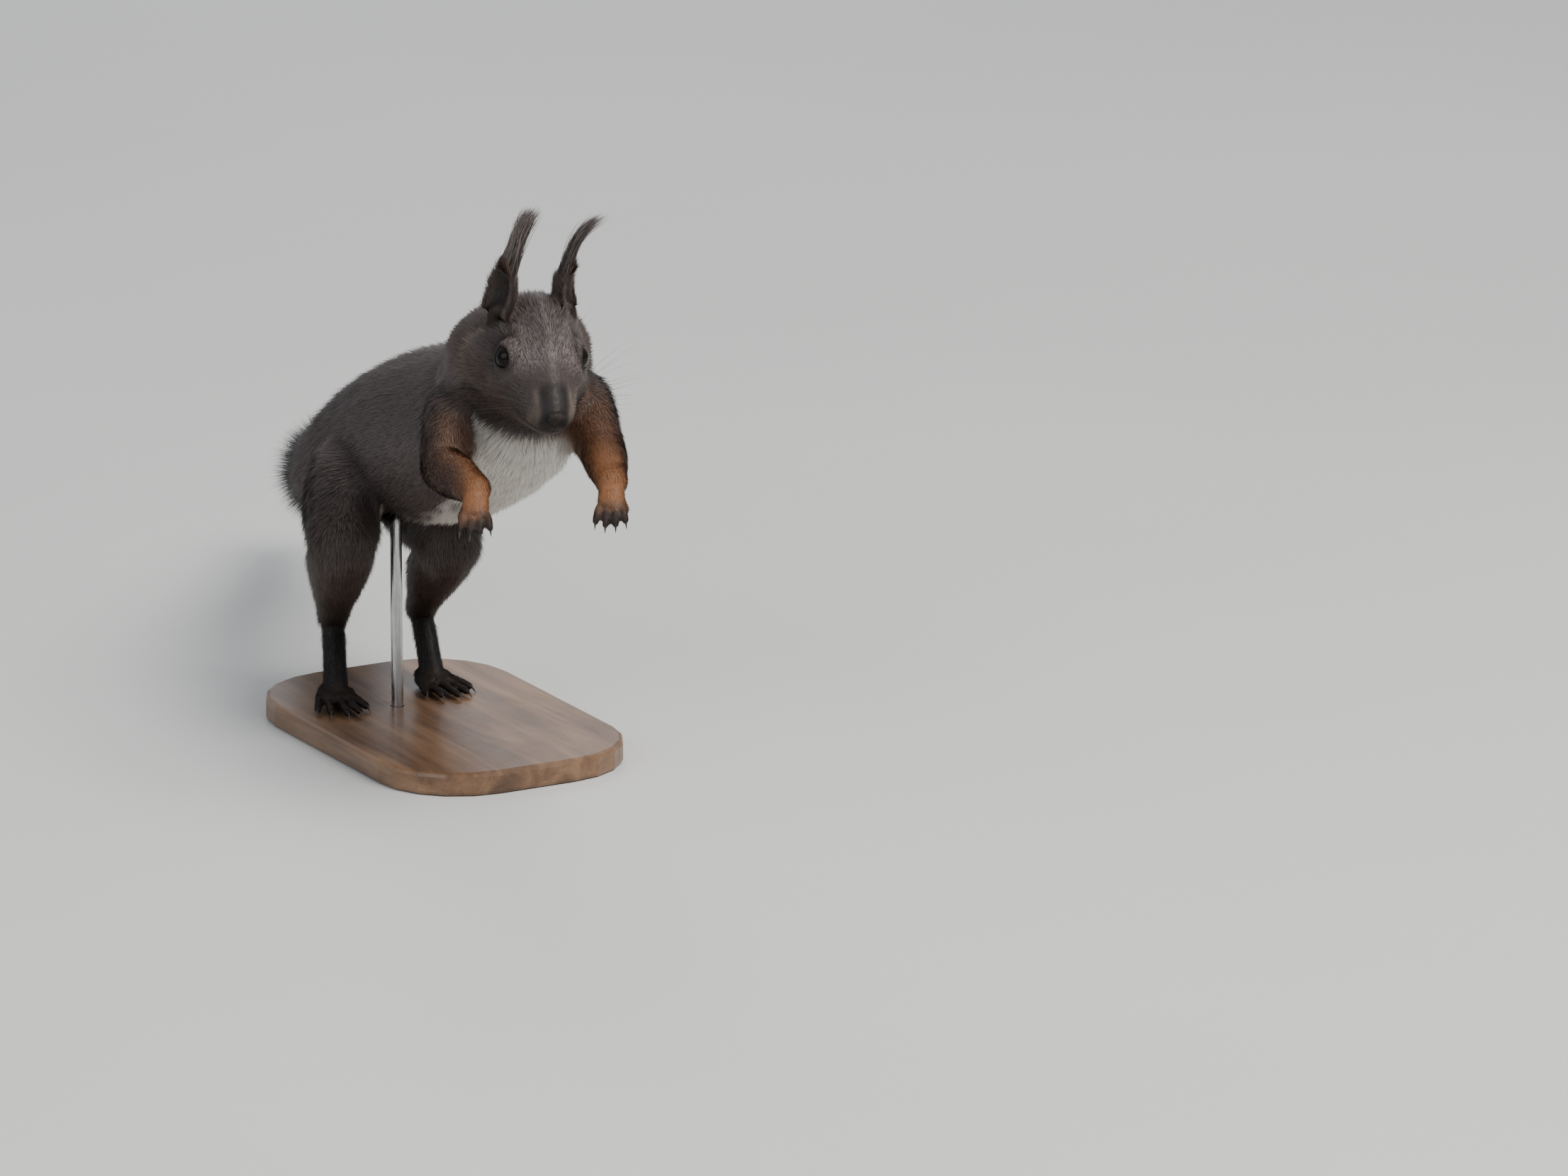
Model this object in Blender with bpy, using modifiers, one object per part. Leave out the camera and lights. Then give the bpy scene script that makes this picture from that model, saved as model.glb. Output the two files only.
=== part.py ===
"""A red squirrel at the start of a leap, life size, as a still museum model on a display stand.

The animal faces -Y, its left side is +X and up is +Z. The origin is the middle of the stand's underside.
Every solid reaches out to the tips of the coat. The pieces are lofts along the limbs, the spine and the
tail, and each is trimmed back from its neighbour, so that they meet with a thin gap and no overlap.
"""

import math

import bmesh
import bpy
from mathutils import Matrix, Vector

MM = 0.001
GAP = 0.3  # clearance between neighbouring pieces, mm

# Driving sizes, in mm
BASE_LENGTH, BASE_WIDTH, BASE_HEIGHT = 136.0, 88.0, 8.0
BASE_CORNER, BASE_EDGE = 30.0, 1.5
ROD_RADIUS = 2.0
ROD_PLACE = (-8.5, 17.0)  # across and along the base
ROD_DEPTH_IN_BASE, ROD_DEPTH_IN_BODY = 5.0, 12.0
FLOOR_OF_FEET = BASE_HEIGHT + GAP  # the soles stand this high
HIPS_BACK = 48.0  # how far the hips lie behind the middle of the stand

EYE_RADIUS = 4.9
EYE_PLACE = (10.8, 0.4, 1.2)  # left, forward and up in the head's own axes
HEAD_CENTRE = Vector((-7.7, -134.1, 142.8))  # midway between the eyes
HEAD_YAW, HEAD_PITCH, HEAD_ROLL = 16.0, 28.5, 4.0  # turned to its right, nose down, left side down, degrees

EAR_WIDTH, EAR_THICKNESS = 14.5, 2.4
# Each ear's base and tip, and the line of the hair above it, in the head's own axes: left, forward and up
EAR_BASE = {"l": (9.2, -12.0, 9.0), "r": (-13.4, -12.0, 8.2)}
EAR_TIP = {"l": (8.6, -16.0, 26.6), "r": (-13.8, -16.0, 27.4)}
TUFT_LINE = {
    "l": [(8.4, -16.4, 30.5), (8.8, -16.8, 35.5), (10.0, -17.2, 40.0), (12.0, -17.4, 43.4), (15.2, -17.6, 46.4)],
    "r": [(-12.6, -16.4, 32.0), (-11.6, -16.8, 37.6), (-10.4, -17.2, 43.0), (-9.4, -17.4, 46.6), (-8.4, -17.6, 49.4)],
}

# The joints of the limbs, for the left and right side. The frame's origin is under the hips at the soles.
LIMBS = {
    "l": {
        "shoulder": Vector((17.4, -112.0, 119.6)),
        "elbow": Vector((10.2, -142.0, 112.5)),
        "wrist": Vector((-2.4, -172.4, 109.8)),
        "finger_tips": Vector((-10.4, -186.0, 99.0)),
        "hip": Vector((13.0, 1.5, 76.0)),
        "knee": Vector((7.8, -37.6, 57.1)),
        "ankle": Vector((16.3, -0.6, 22.7)),
        "toe_base": Vector((11.5, -18.0, 4.0)),
        "toe_yaw": 2.0,
    },
    "r": {
        "shoulder": Vector((-18.8, -96.0, 118.0)),
        "elbow": Vector((-37.3, -121.4, 107.8)),
        "wrist": Vector((-42.6, -154.4, 108.3)),
        "finger_tips": Vector((-50.4, -168.6, 97.2)),
        "hip": Vector((-13.0, -2.5, 76.0)),
        "knee": Vector((-32.7, -39.4, 62.5)),
        "ankle": Vector((-18.8, -4.3, 25.3)),
        "toe_base": Vector((-26.5, -21.0, 4.0)),
        "toe_yaw": -14.0,
    },
}

# Each station of a body form is a place on its axis and the coat's reach there: to the side, up and down.
TRUNK = [
    (-5.5, 29.0, 67.0, 9.0, 10.0, 9.0),
    (-4.0, 20.0, 71.0, 16.0, 18.0, 17.0),
    (0.5, 5.0, 76.5, 19.5, 25.8, 21.0),
    (3.0, -14.0, 82.0, 23.0, 31.0, 22.5),
    (4.5, -34.0, 88.0, 27.0, 33.5, 25.5),
    (4.5, -54.0, 95.0, 28.0, 33.5, 26.5),
    (3.0, -74.0, 102.5, 27.5, 32.0, 24.5),
    (0.5, -91.0, 109.5, 26.0, 30.0, 23.0),
    (-2.0, -105.0, 116.0, 23.5, 27.5, 20.5),
    (-4.5, -117.0, 122.0, 18.0, 22.0, 16.5),
    (-6.0, -125.0, 126.0, 10.0, 11.0, 9.0),
]
WAIST = 5.0  # the station where the trunk is parted into loin and chest

NECK = [
    (0.5, -79.0, 113.0, 17.0, 18.0, 17.0),
    (0.0, -92.0, 121.0, 22.0, 26.0, 22.0),
    (-1.0, -101.0, 130.0, 22.5, 24.5, 22.0),
    (-3.4, -110.0, 138.0, 24.4, 20.0, 24.0),
    (-5.0, -118.0, 145.0, 22.0, 17.0, 22.0),
    (-6.0, -124.0, 150.0, 15.0, 12.0, 13.0),
]

# The head's stations: forward of the eyes, the axis's height, then side, up, down, and how much wider it is below.
HEAD = [
    (27.0, -2.2, 2.5, 2.4, 3.8, 0.20),
    (25.2, -2.4, 4.8, 4.4, 7.0, 0.20),
    (22.0, -2.6, 6.8, 6.8, 10.2, 0.20),
    (17.5, -2.8, 8.5, 9.2, 13.4, 0.24),
    (12.0, -3.0, 10.3, 12.3, 16.6, 0.30),
    (6.0, -3.3, 12.6, 15.7, 19.6, 0.36),
    (0.0, -3.6, 15.0, 18.8, 22.2, 0.42),
    (-6.0, -3.8, 16.8, 20.8, 23.8, 0.46),
    (-12.0, -3.8, 17.6, 21.0, 23.2, 0.46),
    (-18.0, -3.2, 17.2, 18.6, 19.2, 0.32),
    (-23.0, -2.6, 14.5, 13.4, 13.5, 0.20),
    (-26.5, -2.0, 8.0, 6.8, 7.0, 0.20),
]

TAIL = [
    (-6.5, 18.0, 69.5, 9.0, 9.0, 9.0),
    (-0.5, 30.0, 65.5, 13.0, 13.0, 13.0),
    (8.5, 47.0, 60.5, 17.0, 16.0, 16.0),
    (20.0, 70.0, 53.5, 19.5, 17.0, 17.5),
    (31.5, 93.0, 46.5, 20.0, 17.0, 17.5),
    (43.0, 116.0, 40.5, 18.5, 16.5, 16.5),
    (53.5, 137.0, 36.5, 17.0, 15.2, 14.8),
    (62.5, 155.0, 35.0, 13.5, 12.6, 11.8),
    (69.5, 169.0, 35.5, 7.6, 7.4, 7.0),
]
TAIL_CUTS = (2.6, 4.1, 5.6)  # the stations where the tail is parted

COLOURS = {
    "coat": (0.105, 0.080, 0.070, 0.75, 0.0),
    "rust": (0.260, 0.095, 0.040, 0.75, 0.0),
    "dark": (0.030, 0.024, 0.022, 0.70, 0.0),
    "eye": (0.010, 0.008, 0.007, 0.08, 0.0),
    "nose": (0.040, 0.028, 0.026, 0.45, 0.0),
    "wood": (0.190, 0.100, 0.050, 0.45, 0.0),
    "steel": (0.560, 0.560, 0.570, 0.30, 1.0),
}


def clear_scene():
    for obj in list(bpy.data.objects):
        bpy.data.objects.remove(obj, do_unlink=True)


def material(name):
    red, green, blue, roughness, metallic = COLOURS[name]
    made = bpy.data.materials.get(name) or bpy.data.materials.new(name)
    made.use_nodes = True
    shader = made.node_tree.nodes["Principled BSDF"]
    shader.inputs["Base Color"].default_value = (red, green, blue, 1.0)
    shader.inputs["Roughness"].default_value = roughness
    shader.inputs["Metallic"].default_value = metallic
    return made


def new_object(name, mesh, finish=None):
    obj = bpy.data.objects.new(name, mesh)
    bpy.context.scene.collection.objects.link(obj)
    if finish:
        mesh.materials.clear()
        mesh.materials.append(material(finish))
    return obj


def spline(stations, at):
    """The station at a fractional index, on a smooth curve through all of them."""
    last = len(stations) - 1
    i = min(int(at), last - 1)
    t = at - i
    p1, p2 = stations[i], stations[i + 1]
    p0 = stations[i - 1] if i > 0 else [2 * a - b for a, b in zip(p1, p2)]
    p3 = stations[i + 2] if i + 2 <= last else [2 * b - a for a, b in zip(p1, p2)]
    return [
        0.5 * (2 * b + (c - a) * t + (2 * a - 5 * b + 4 * c - d) * t**2 + (3 * b - a - 3 * c + d) * t**3)
        for a, b, c, d in zip(p0, p1, p2, p3)
    ]


def ring_of(station, tangent, dorsal, sides):
    """Points round the axis, an oval whose upper and lower halves may differ. A last value widens the lower half."""
    x, y, z, across, above, below, *fuller = station
    pear = fuller[0] if fuller else 0.0
    forward = tangent.normalized()
    up = (dorsal - forward * dorsal.dot(forward)).normalized()
    side = up.cross(forward)
    points = []
    for k in range(sides):
        angle = 2 * math.pi * k / sides
        height = above if math.sin(angle) > 0 else below
        width = across * (1 - pear * math.sin(angle))
        offset = side * width * math.cos(angle) + up * height * math.sin(angle)
        points.append((Vector((x, y, z)) + offset) * MM)
    return points


def rounded_end(station, tangent, sign, rings):
    """Stations that close a form with a dome, from the rim outwards."""
    x, y, z, across, above, below, *fuller = station
    reach = 0.7 * min(across, above, below)
    stations = []
    for k in range(1, rings + 1):
        angle = 0.5 * math.pi * k / (rings + 1)
        centre = Vector((x, y, z)) + tangent.normalized() * sign * reach * math.sin(angle)
        shrink = math.cos(angle)
        stations.append((*centre, across * shrink, above * shrink, below * shrink, *fuller))
    pole = Vector((x, y, z)) + tangent.normalized() * sign * reach
    return stations, pole * MM


def loft(name, stations, sides=20, steps=2, dorsal=(0, 0, 1), span=None, domes=(True, True), dome_rings=2,
         finish="coat"):
    """A closed form through the stations, which may be only a span of them, with domed or flat ends."""
    first, last = span or (0.0, len(stations) - 1.0)
    count = max(2, round((last - first) * steps) + 1)
    places = [first + (last - first) * k / (count - 1) for k in range(count)]
    line = [spline(stations, at) for at in places]
    small = 0.02
    tangents = []
    for at in places:
        ahead = Vector(spline(stations, min(at + small, len(stations) - 1.0))[:3])
        behind = Vector(spline(stations, max(at - small, 0.0))[:3])
        tangents.append(ahead - behind)
    pairs = [(tuple(s), t) for s, t in zip(line, tangents)]
    poles = [Vector(line[0][:3]) * MM, Vector(line[-1][:3]) * MM]
    if domes[0]:
        cap, poles[0] = rounded_end(line[0], tangents[0], -1, dome_rings)
        pairs = [(s, tangents[0]) for s in reversed(cap)] + pairs
    if domes[1]:
        cap, poles[1] = rounded_end(line[-1], tangents[-1], 1, dome_rings)
        pairs = pairs + [(s, tangents[-1]) for s in cap]
    up = Vector(dorsal)
    form = bmesh.new()
    rings = [[form.verts.new(p) for p in ring_of(s, t, up, sides)] for s, t in pairs]
    for a, b in zip(rings, rings[1:]):
        for k in range(sides):
            form.faces.new((a[k], a[k - 1], b[k - 1], b[k]))
    for ring, pole, flip in ((rings[0], poles[0], True), (rings[-1], poles[1], False)):
        tip = form.verts.new(pole)
        for k in range(sides):
            corners = (ring[k], ring[k - 1], tip)
            form.faces.new(corners[::-1] if flip else corners)
    bmesh.ops.recalc_face_normals(form, faces=form.faces)
    mesh = bpy.data.meshes.new(name)
    form.to_mesh(mesh)
    form.free()
    mesh.shade_smooth()
    return new_object(name, mesh, finish)


def baked(obj):
    """Applies the modifiers by taking the evaluated mesh."""
    bpy.context.view_layer.update()
    graph = bpy.context.evaluated_depsgraph_get()
    mesh = bpy.data.meshes.new_from_object(obj.evaluated_get(graph))
    old = obj.data
    obj.modifiers.clear()
    obj.data = mesh
    if old.users == 0:
        bpy.data.meshes.remove(old)
    return obj


def boolean(obj, other, operation):
    cut = obj.modifiers.new(operation.lower(), "BOOLEAN")
    cut.object = other
    cut.operation = operation
    cut.solver = "EXACT"
    return baked(obj)


def largest_body(obj):
    """Drops the crumbs that a cut leaves, and keeps the largest connected body."""
    form = bmesh.new()
    form.from_mesh(obj.data)
    left, bodies = set(form.verts), []
    while left:
        front = [left.pop()]
        body = set(front)
        while front:
            for edge in front.pop().link_edges:
                for vert in edge.verts:
                    if vert in left:
                        left.discard(vert)
                        body.add(vert)
                        front.append(vert)
        bodies.append(body)
    bodies.sort(key=len, reverse=True)
    crumbs = [vert for body in bodies[1:] for vert in body]
    bmesh.ops.delete(form, geom=crumbs, context="VERTS")
    form.to_mesh(obj.data)
    form.free()
    return obj


def swollen(obj, by):
    """A copy of a piece, grown all over, as a cutter for its neighbour."""
    copy = new_object(obj.name + "_grown", obj.data.copy())
    form = bmesh.new()
    form.from_mesh(copy.data)
    form.normal_update()
    moves = [(vert, vert.normal * by * MM) for vert in form.verts]
    for vert, move in moves:
        vert.co += move
    form.to_mesh(copy.data)
    form.free()
    return copy


def trim(piece, *neighbours, gap=GAP):
    """Cuts a piece back from its neighbours."""
    for neighbour in neighbours:
        cutter = swollen(neighbour, gap)
        boolean(piece, cutter, "DIFFERENCE")
        bpy.data.objects.remove(cutter, do_unlink=True)
    return largest_body(piece)


def join(target, others):
    for other in others:
        boolean(target, other, "UNION")
        bpy.data.objects.remove(other, do_unlink=True)
    return target


def turned(vector, yaw):
    return Matrix.Rotation(math.radians(yaw), 3, "Z") @ vector


# The head's own axes
HEAD_FORWARD = turned(
    Vector((0, -math.cos(math.radians(HEAD_PITCH)), -math.sin(math.radians(HEAD_PITCH)))), -HEAD_YAW
)
LEVEL_LEFT = Vector((0, 0, 1)).cross(HEAD_FORWARD).normalized()
HEAD_LEFT = Matrix.Rotation(math.radians(-HEAD_ROLL), 3, HEAD_FORWARD) @ LEVEL_LEFT
HEAD_UP = HEAD_FORWARD.cross(HEAD_LEFT)


def on_head(left, forward, up):
    return HEAD_CENTRE + HEAD_LEFT * left + HEAD_FORWARD * forward + HEAD_UP * up


def segment(name, start, end, profile, dorsal, **more):
    """A limb's length between two joints. The profile gives, for shares of the way, side, up, down and bow."""
    bow_way = Vector(dorsal).normalized()
    stations = []
    for share, across, above, below, bow in profile:
        centre = start.lerp(end, share) + bow_way * bow
        stations.append((*centre, across, above, below))
    return loft(name, stations, dorsal=dorsal, **more)


def ball(name, centre, radius, finish, rings=7):
    form = bmesh.new()
    bmesh.ops.create_uvsphere(form, u_segments=rings + 4, v_segments=rings, radius=radius * MM)
    bmesh.ops.translate(form, verts=form.verts, vec=centre * MM)
    mesh = bpy.data.meshes.new(name)
    form.to_mesh(mesh)
    form.free()
    mesh.shade_smooth()
    return new_object(name, mesh, finish)


def make_head():
    stations = []
    for forward, height, *reaches in HEAD:
        stations.append((*on_head(0, forward, height), *reaches))
    return loft("head", stations, sides=18, steps=1.2, dorsal=HEAD_UP, dome_rings=1)


def make_nose():
    """The bare pad at the muzzle's tip, wider than it is high."""
    nose = ball("nose", Vector((0, 0, 0)), 1.0, "nose")
    place = Matrix.Translation(on_head(0, 27.0, -1.6) * MM)
    turn = Matrix((HEAD_LEFT, -HEAD_FORWARD, HEAD_UP)).transposed().to_4x4()
    nose.data.transform(place @ turn @ Matrix.Diagonal((2.7, 1.9, 1.9, 1.0)))
    return nose


def make_ear(side, sign):
    """A tall pinna, hollow in front, that narrows to its tip."""
    base, tip = on_head(*EAR_BASE[side]), on_head(*EAR_TIP[side])
    faces_forward = (HEAD_FORWARD * 0.5 + HEAD_LEFT * sign * 0.87).normalized()
    shares = ((0.0, 0.92), (0.28, 1.0), (0.52, 0.92), (0.76, 0.74), (1.0, 0.46))
    stations = []
    for share, width in shares:
        bow = faces_forward * -2.6 * math.sin(math.pi * share)
        across = 0.5 * EAR_WIDTH * width
        thick = 0.5 * EAR_THICKNESS
        stations.append((*(base.lerp(tip, share) + bow), across, thick, thick))
    ear = loft(f"ear_{side}", stations, sides=12, steps=1.25, dorsal=faces_forward, domes=(False, False), finish="dark")
    axis = (tip - base).normalized()
    across_ear = axis.cross(faces_forward).normalized()
    form = bmesh.new()
    form.from_mesh(ear.data)
    middle = base.lerp(tip, 0.5)
    for vert in form.verts:
        place = vert.co / MM - middle
        out = place.dot(across_ear) / (0.5 * EAR_WIDTH)
        vert.co += faces_forward * 3.0 * out * out * MM
    form.to_mesh(ear.data)
    form.free()
    return ear


def make_tuft(side, sign):
    """The long hairs on the ear's tip, blown to the animal's left."""
    tip = on_head(*EAR_TIP[side])
    line = [tip, *(on_head(*place) for place in TUFT_LINE[side])]
    line[0] = tip + (line[1] - tip).normalized() * GAP
    reaches = ((4.0, 1.3), (3.9, 1.7), (3.4, 1.6), (2.7, 1.3), (1.8, 0.9), (0.6, 0.5))
    stations = [(*place, across, thick, thick) for place, (across, thick) in zip(line, reaches)]
    facing = (HEAD_FORWARD * 0.5 + HEAD_LEFT * sign * 0.87).normalized()
    return loft(f"ear_tuft_{side}", stations, sides=8, steps=1.2, dorsal=facing, domes=(False, False), finish="dark")


def make_digit(name, root, knuckle, tip, thick, claw):
    """A finger or toe, with its claw as the hooked tip."""
    hook = (tip - knuckle).normalized() * claw + Vector((0, 0, -0.45 * claw))
    stations = [
        (*root, thick * 1.1, thick, thick),
        (*knuckle, thick * 0.95, thick * 0.95, thick * 0.95),
        (*tip, thick * 0.85, thick * 0.8, thick * 0.75),
        (*(tip + hook * 0.4), thick * 0.42, thick * 0.5, thick * 0.45),
        (*(tip + hook), 0.3, 0.3, 0.3),
    ]
    return loft(name, stations, sides=6, steps=1, domes=(False, False), finish="dark")


def make_hand(side, sign):
    """The palm hangs from the wrist with four fingers and a stub of a thumb."""
    limb = LIMBS[side]
    wrist, tips = limb["wrist"], limb["finger_tips"]
    along = (tips - wrist).normalized()
    back = (Vector((0, 0, 1)) - along * along.z).normalized()
    left = back.cross(along) * -1
    palm_end = wrist + along * 11.5
    profile = ((0.0, 4.6, 3.6, 3.6, 0.0), (0.45, 4.8, 3.2, 3.6, 0.0), (1.0, 5.0, 2.7, 3.0, 0.0))
    hand = segment(f"hand_{side}", wrist, palm_end, profile, back, sides=10, steps=1.2, dome_rings=1, finish="dark")
    fingers = []
    for k, (spread, length) in enumerate(((-1.5, 6.0), (-0.52, 7.6), (0.5, 7.8), (1.48, 6.4))):
        root = palm_end + left * spread * 2.2 - along * 2.0
        knuckle = root + along * length * 0.62 + left * spread * 0.7 + back * 0.8
        tip = knuckle + along * length * 0.42 + left * spread * 0.3 - back * 1.2
        fingers.append(make_digit(f"finger_{side}_{k}", root, knuckle, tip, 1.6, 2.8))
    thumb_root = wrist + along * 6.0 - left * sign * 3.4 - back * 1.2
    thumb_tip = thumb_root + along * 3.4 - left * sign * 1.6 - back * 1.2
    thumb = make_digit(f"thumb_{side}", thumb_root, thumb_root.lerp(thumb_tip, 0.5), thumb_tip, 1.3, 1.2)
    return join(hand, [*fingers, thumb])


def make_foot(side):
    """The long hind foot: the heel is raised, and five toes stand flat on the stand."""
    limb = LIMBS[side]
    ankle, ball_of_foot, yaw = limb["ankle"], limb["toe_base"], limb["toe_yaw"]
    heel_way = (ankle - ball_of_foot).normalized()
    front = (Vector((0, -1, 0)) - heel_way * Vector((0, -1, 0)).dot(heel_way)).normalized()
    profile = (
        (0.0, 6.0, 3.0, 3.2, 0.4),
        (0.25, 5.4, 3.4, 3.4, 0.0),
        (0.6, 4.9, 3.4, 3.4, 0.0),
        (0.9, 4.4, 4.0, 4.2, -0.6),
        (1.12, 3.4, 3.2, 3.4, -1.4),
    )
    foot = segment(f"foot_{side}", ball_of_foot, ankle, profile, front, sides=10, steps=1.2, dome_rings=1,
                   finish="dark")
    toes = []
    for k, (spread, length) in enumerate(((-1.0, 11.5), (-0.52, 15.2), (0.03, 16.4), (0.5, 15.5), (1.03, 11.8))):
        way = turned(Vector((0, -1, 0)), yaw + spread * 17.0)
        aside = turned(Vector((1, 0, 0)), yaw)
        root = ball_of_foot + aside * spread * 4.6 + Vector((0, 1.5 * abs(spread), 0))
        root.z = 3.2
        knuckle = root + way * length * 0.55 + Vector((0, 0, 0.2))
        tip = root + way * length
        knuckle.z, tip.z = 2.5, 1.75
        toes.append(make_digit(f"toe_{side}_{k}", root, knuckle, tip, 1.6, 3.8))
    foot = join(foot, toes)
    return level_soles(foot)


def level_soles(foot):
    """Presses what would dip through the floor flat onto it, so that the soles stand on small flats."""
    form = bmesh.new()
    form.from_mesh(foot.data)
    for vert in form.verts:
        vert.co.z = max(vert.co.z, 0.0)
    bmesh.ops.dissolve_degenerate(form, dist=0.00001, edges=form.edges)
    form.to_mesh(foot.data)
    form.free()
    floor = bpy.data.meshes.new("floor")
    form = bmesh.new()
    bmesh.ops.create_cube(form, size=0.4)
    bmesh.ops.translate(form, verts=form.verts, vec=Vector((0, 0, -0.2 + 0.35 * MM)))
    form.to_mesh(floor)
    form.free()
    cutter = new_object("floor", floor)
    boolean(foot, cutter, "DIFFERENCE")
    bpy.data.objects.remove(cutter, do_unlink=True)
    foot.data.transform(Matrix.Translation((0, 0, -0.35 * MM)))
    return largest_body(foot)


def make_arm(side):
    """Upper arm and forearm are one form, parted at the elbow."""
    limb = LIMBS[side]
    stations = []
    for share, across, above, below in ((0.0, 11.0, 15.0, 15.0), (0.35, 10.8, 13.5, 13.0), (0.7, 9.4, 11.0, 10.5)):
        stations.append((*limb["shoulder"].lerp(limb["elbow"], share), across, above, below))
    elbow = len(stations)
    for share, across, above, below in ((0.0, 8.2, 9.0, 9.2), (0.35, 7.6, 7.9, 8.4), (0.7, 6.2, 6.4, 6.8),
                                        (1.0, 5.2, 5.2, 5.2)):
        stations.append((*limb["elbow"].lerp(limb["wrist"], share), across, above, below))
    half_gap = 0.5 * GAP / (0.3 * (limb["elbow"] - limb["shoulder"]).length)
    upper = loft(f"upper_arm_{side}", stations, sides=16, steps=1.6, span=(0.0, elbow - half_gap),
                 domes=(True, False))
    forearm = loft(f"forearm_{side}", stations, sides=16, steps=1.6, span=(elbow + half_gap, len(stations) - 1.0),
                   domes=(False, True), finish="rust")
    return upper, forearm


def halved(obj, point, normal):
    """Cuts away what lies beyond a plane and closes the cut with a flat."""
    form = bmesh.new()
    form.from_mesh(obj.data)
    everything = [*form.verts, *form.edges, *form.faces]
    cut = bmesh.ops.bisect_plane(form, geom=everything, plane_co=point * MM, plane_no=normal, clear_outer=True)
    rim = [item for item in cut["geom_cut"] if isinstance(item, bmesh.types.BMEdge)]
    bmesh.ops.contextual_create(form, geom=rim)
    bmesh.ops.recalc_face_normals(form, faces=form.faces)
    form.to_mesh(obj.data)
    form.free()
    return obj


def mitred(first, second, before, joint, after):
    """Parts two lengths of a limb on the plane that halves the bend."""
    through = ((joint - before).normalized() + (after - joint).normalized()).normalized()
    halved(first, joint - through * 0.5 * GAP, through)
    halved(second, joint + through * 0.5 * GAP, -through)


def make_leg(side, sign):
    limb = LIMBS[side]
    thigh = segment(
        f"thigh_{side}", limb["hip"] + Vector((-3.0 * sign, 6.0, 0)), limb["knee"],
        ((0.0, 7.0, 15.0, 16.0, 0.0), (0.3, 13.0, 21.0, 20.0, 0.0), (0.65, 14.0, 17.0, 16.5, 0.0),
         (0.9, 12.8, 13.0, 13.5, 0.0), (1.0, 12.2, 11.8, 12.6, 0.0)),
        (0, -0.3, 1), sides=16, steps=1.3,
    )
    shank = segment(
        f"shank_{side}", limb["knee"], limb["ankle"],
        ((0.0, 12.2, 11.8, 12.2, 0.0), (0.25, 11.8, 11.0, 12.6, 0.0), (0.5, 9.6, 8.8, 10.6, 0.0),
         (0.76, 6.8, 6.2, 7.2, 0.0), (1.0, 4.9, 4.7, 5.2, 0.0)),
        (0, -0.6, -1), sides=14, steps=1.3,
    )
    mitred(thigh, shank, limb["hip"], limb["knee"], limb["ankle"])
    return thigh, shank


def make_limbs(loin, chest, neck, head):
    made = []
    for side, sign in (("l", 1), ("r", -1)):
        thigh, shank = make_leg(side, sign)
        trim(thigh, loin, chest)
        trim(shank, thigh)
        foot = trim(make_foot(side), shank)
        upper, forearm = make_arm(side)
        trim(upper, chest, neck, head)
        trim(upper, neck, gap=2 * GAP)  # the neck's cut rim stands out past its own offset
        trim(forearm, head)
        hand = trim(make_hand(side, sign), forearm)
        made += [thigh, shank, foot, upper, forearm, hand]
    return made


def make_tail(loin):
    ends = [0.0, *TAIL_CUTS, len(TAIL) - 1.0]
    half_gap = 0.5 * GAP
    lengths = []
    for k, (start, end) in enumerate(zip(ends, ends[1:])):
        step = (Vector(TAIL[4][:3]) - Vector(TAIL[3][:3])).length
        first = start + (half_gap / step if k else 0)
        last = end - (half_gap / step if k < len(TAIL_CUTS) else 0)
        domes = (k == 0, k == len(TAIL_CUTS))
        lengths.append(
            loft(f"tail_{k + 1}", TAIL, sides=16, steps=1.5, span=(first, last), domes=domes, finish="dark")
        )
    trim(lengths[0], loin)
    return lengths


def make_trunk():
    step = (Vector(TRUNK[5][:3]) - Vector(TRUNK[4][:3])).length
    half_gap = 0.5 * GAP / step
    last = len(TRUNK) - 1.0
    loin = loft("loin", TRUNK, sides=20, steps=1.4, span=(0.0, WAIST - half_gap), domes=(True, False))
    chest = loft("chest", TRUNK, sides=20, steps=1.4, span=(WAIST + half_gap, last), domes=(False, True))
    return loin, chest


def drill(obj, centre, radius, bottom, top):
    form = bmesh.new()
    bmesh.ops.create_cone(
        form, cap_ends=True, segments=20, radius1=radius * MM, radius2=radius * MM, depth=(top - bottom) * MM
    )
    middle = Vector((centre[0], centre[1], 0.5 * (top + bottom))) * MM
    bmesh.ops.translate(form, verts=form.verts, vec=middle)
    mesh = bpy.data.meshes.new("drill")
    form.to_mesh(mesh)
    form.free()
    cutter = new_object("drill", mesh)
    boolean(obj, cutter, "DIFFERENCE")
    bpy.data.objects.remove(cutter, do_unlink=True)
    return obj


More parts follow.
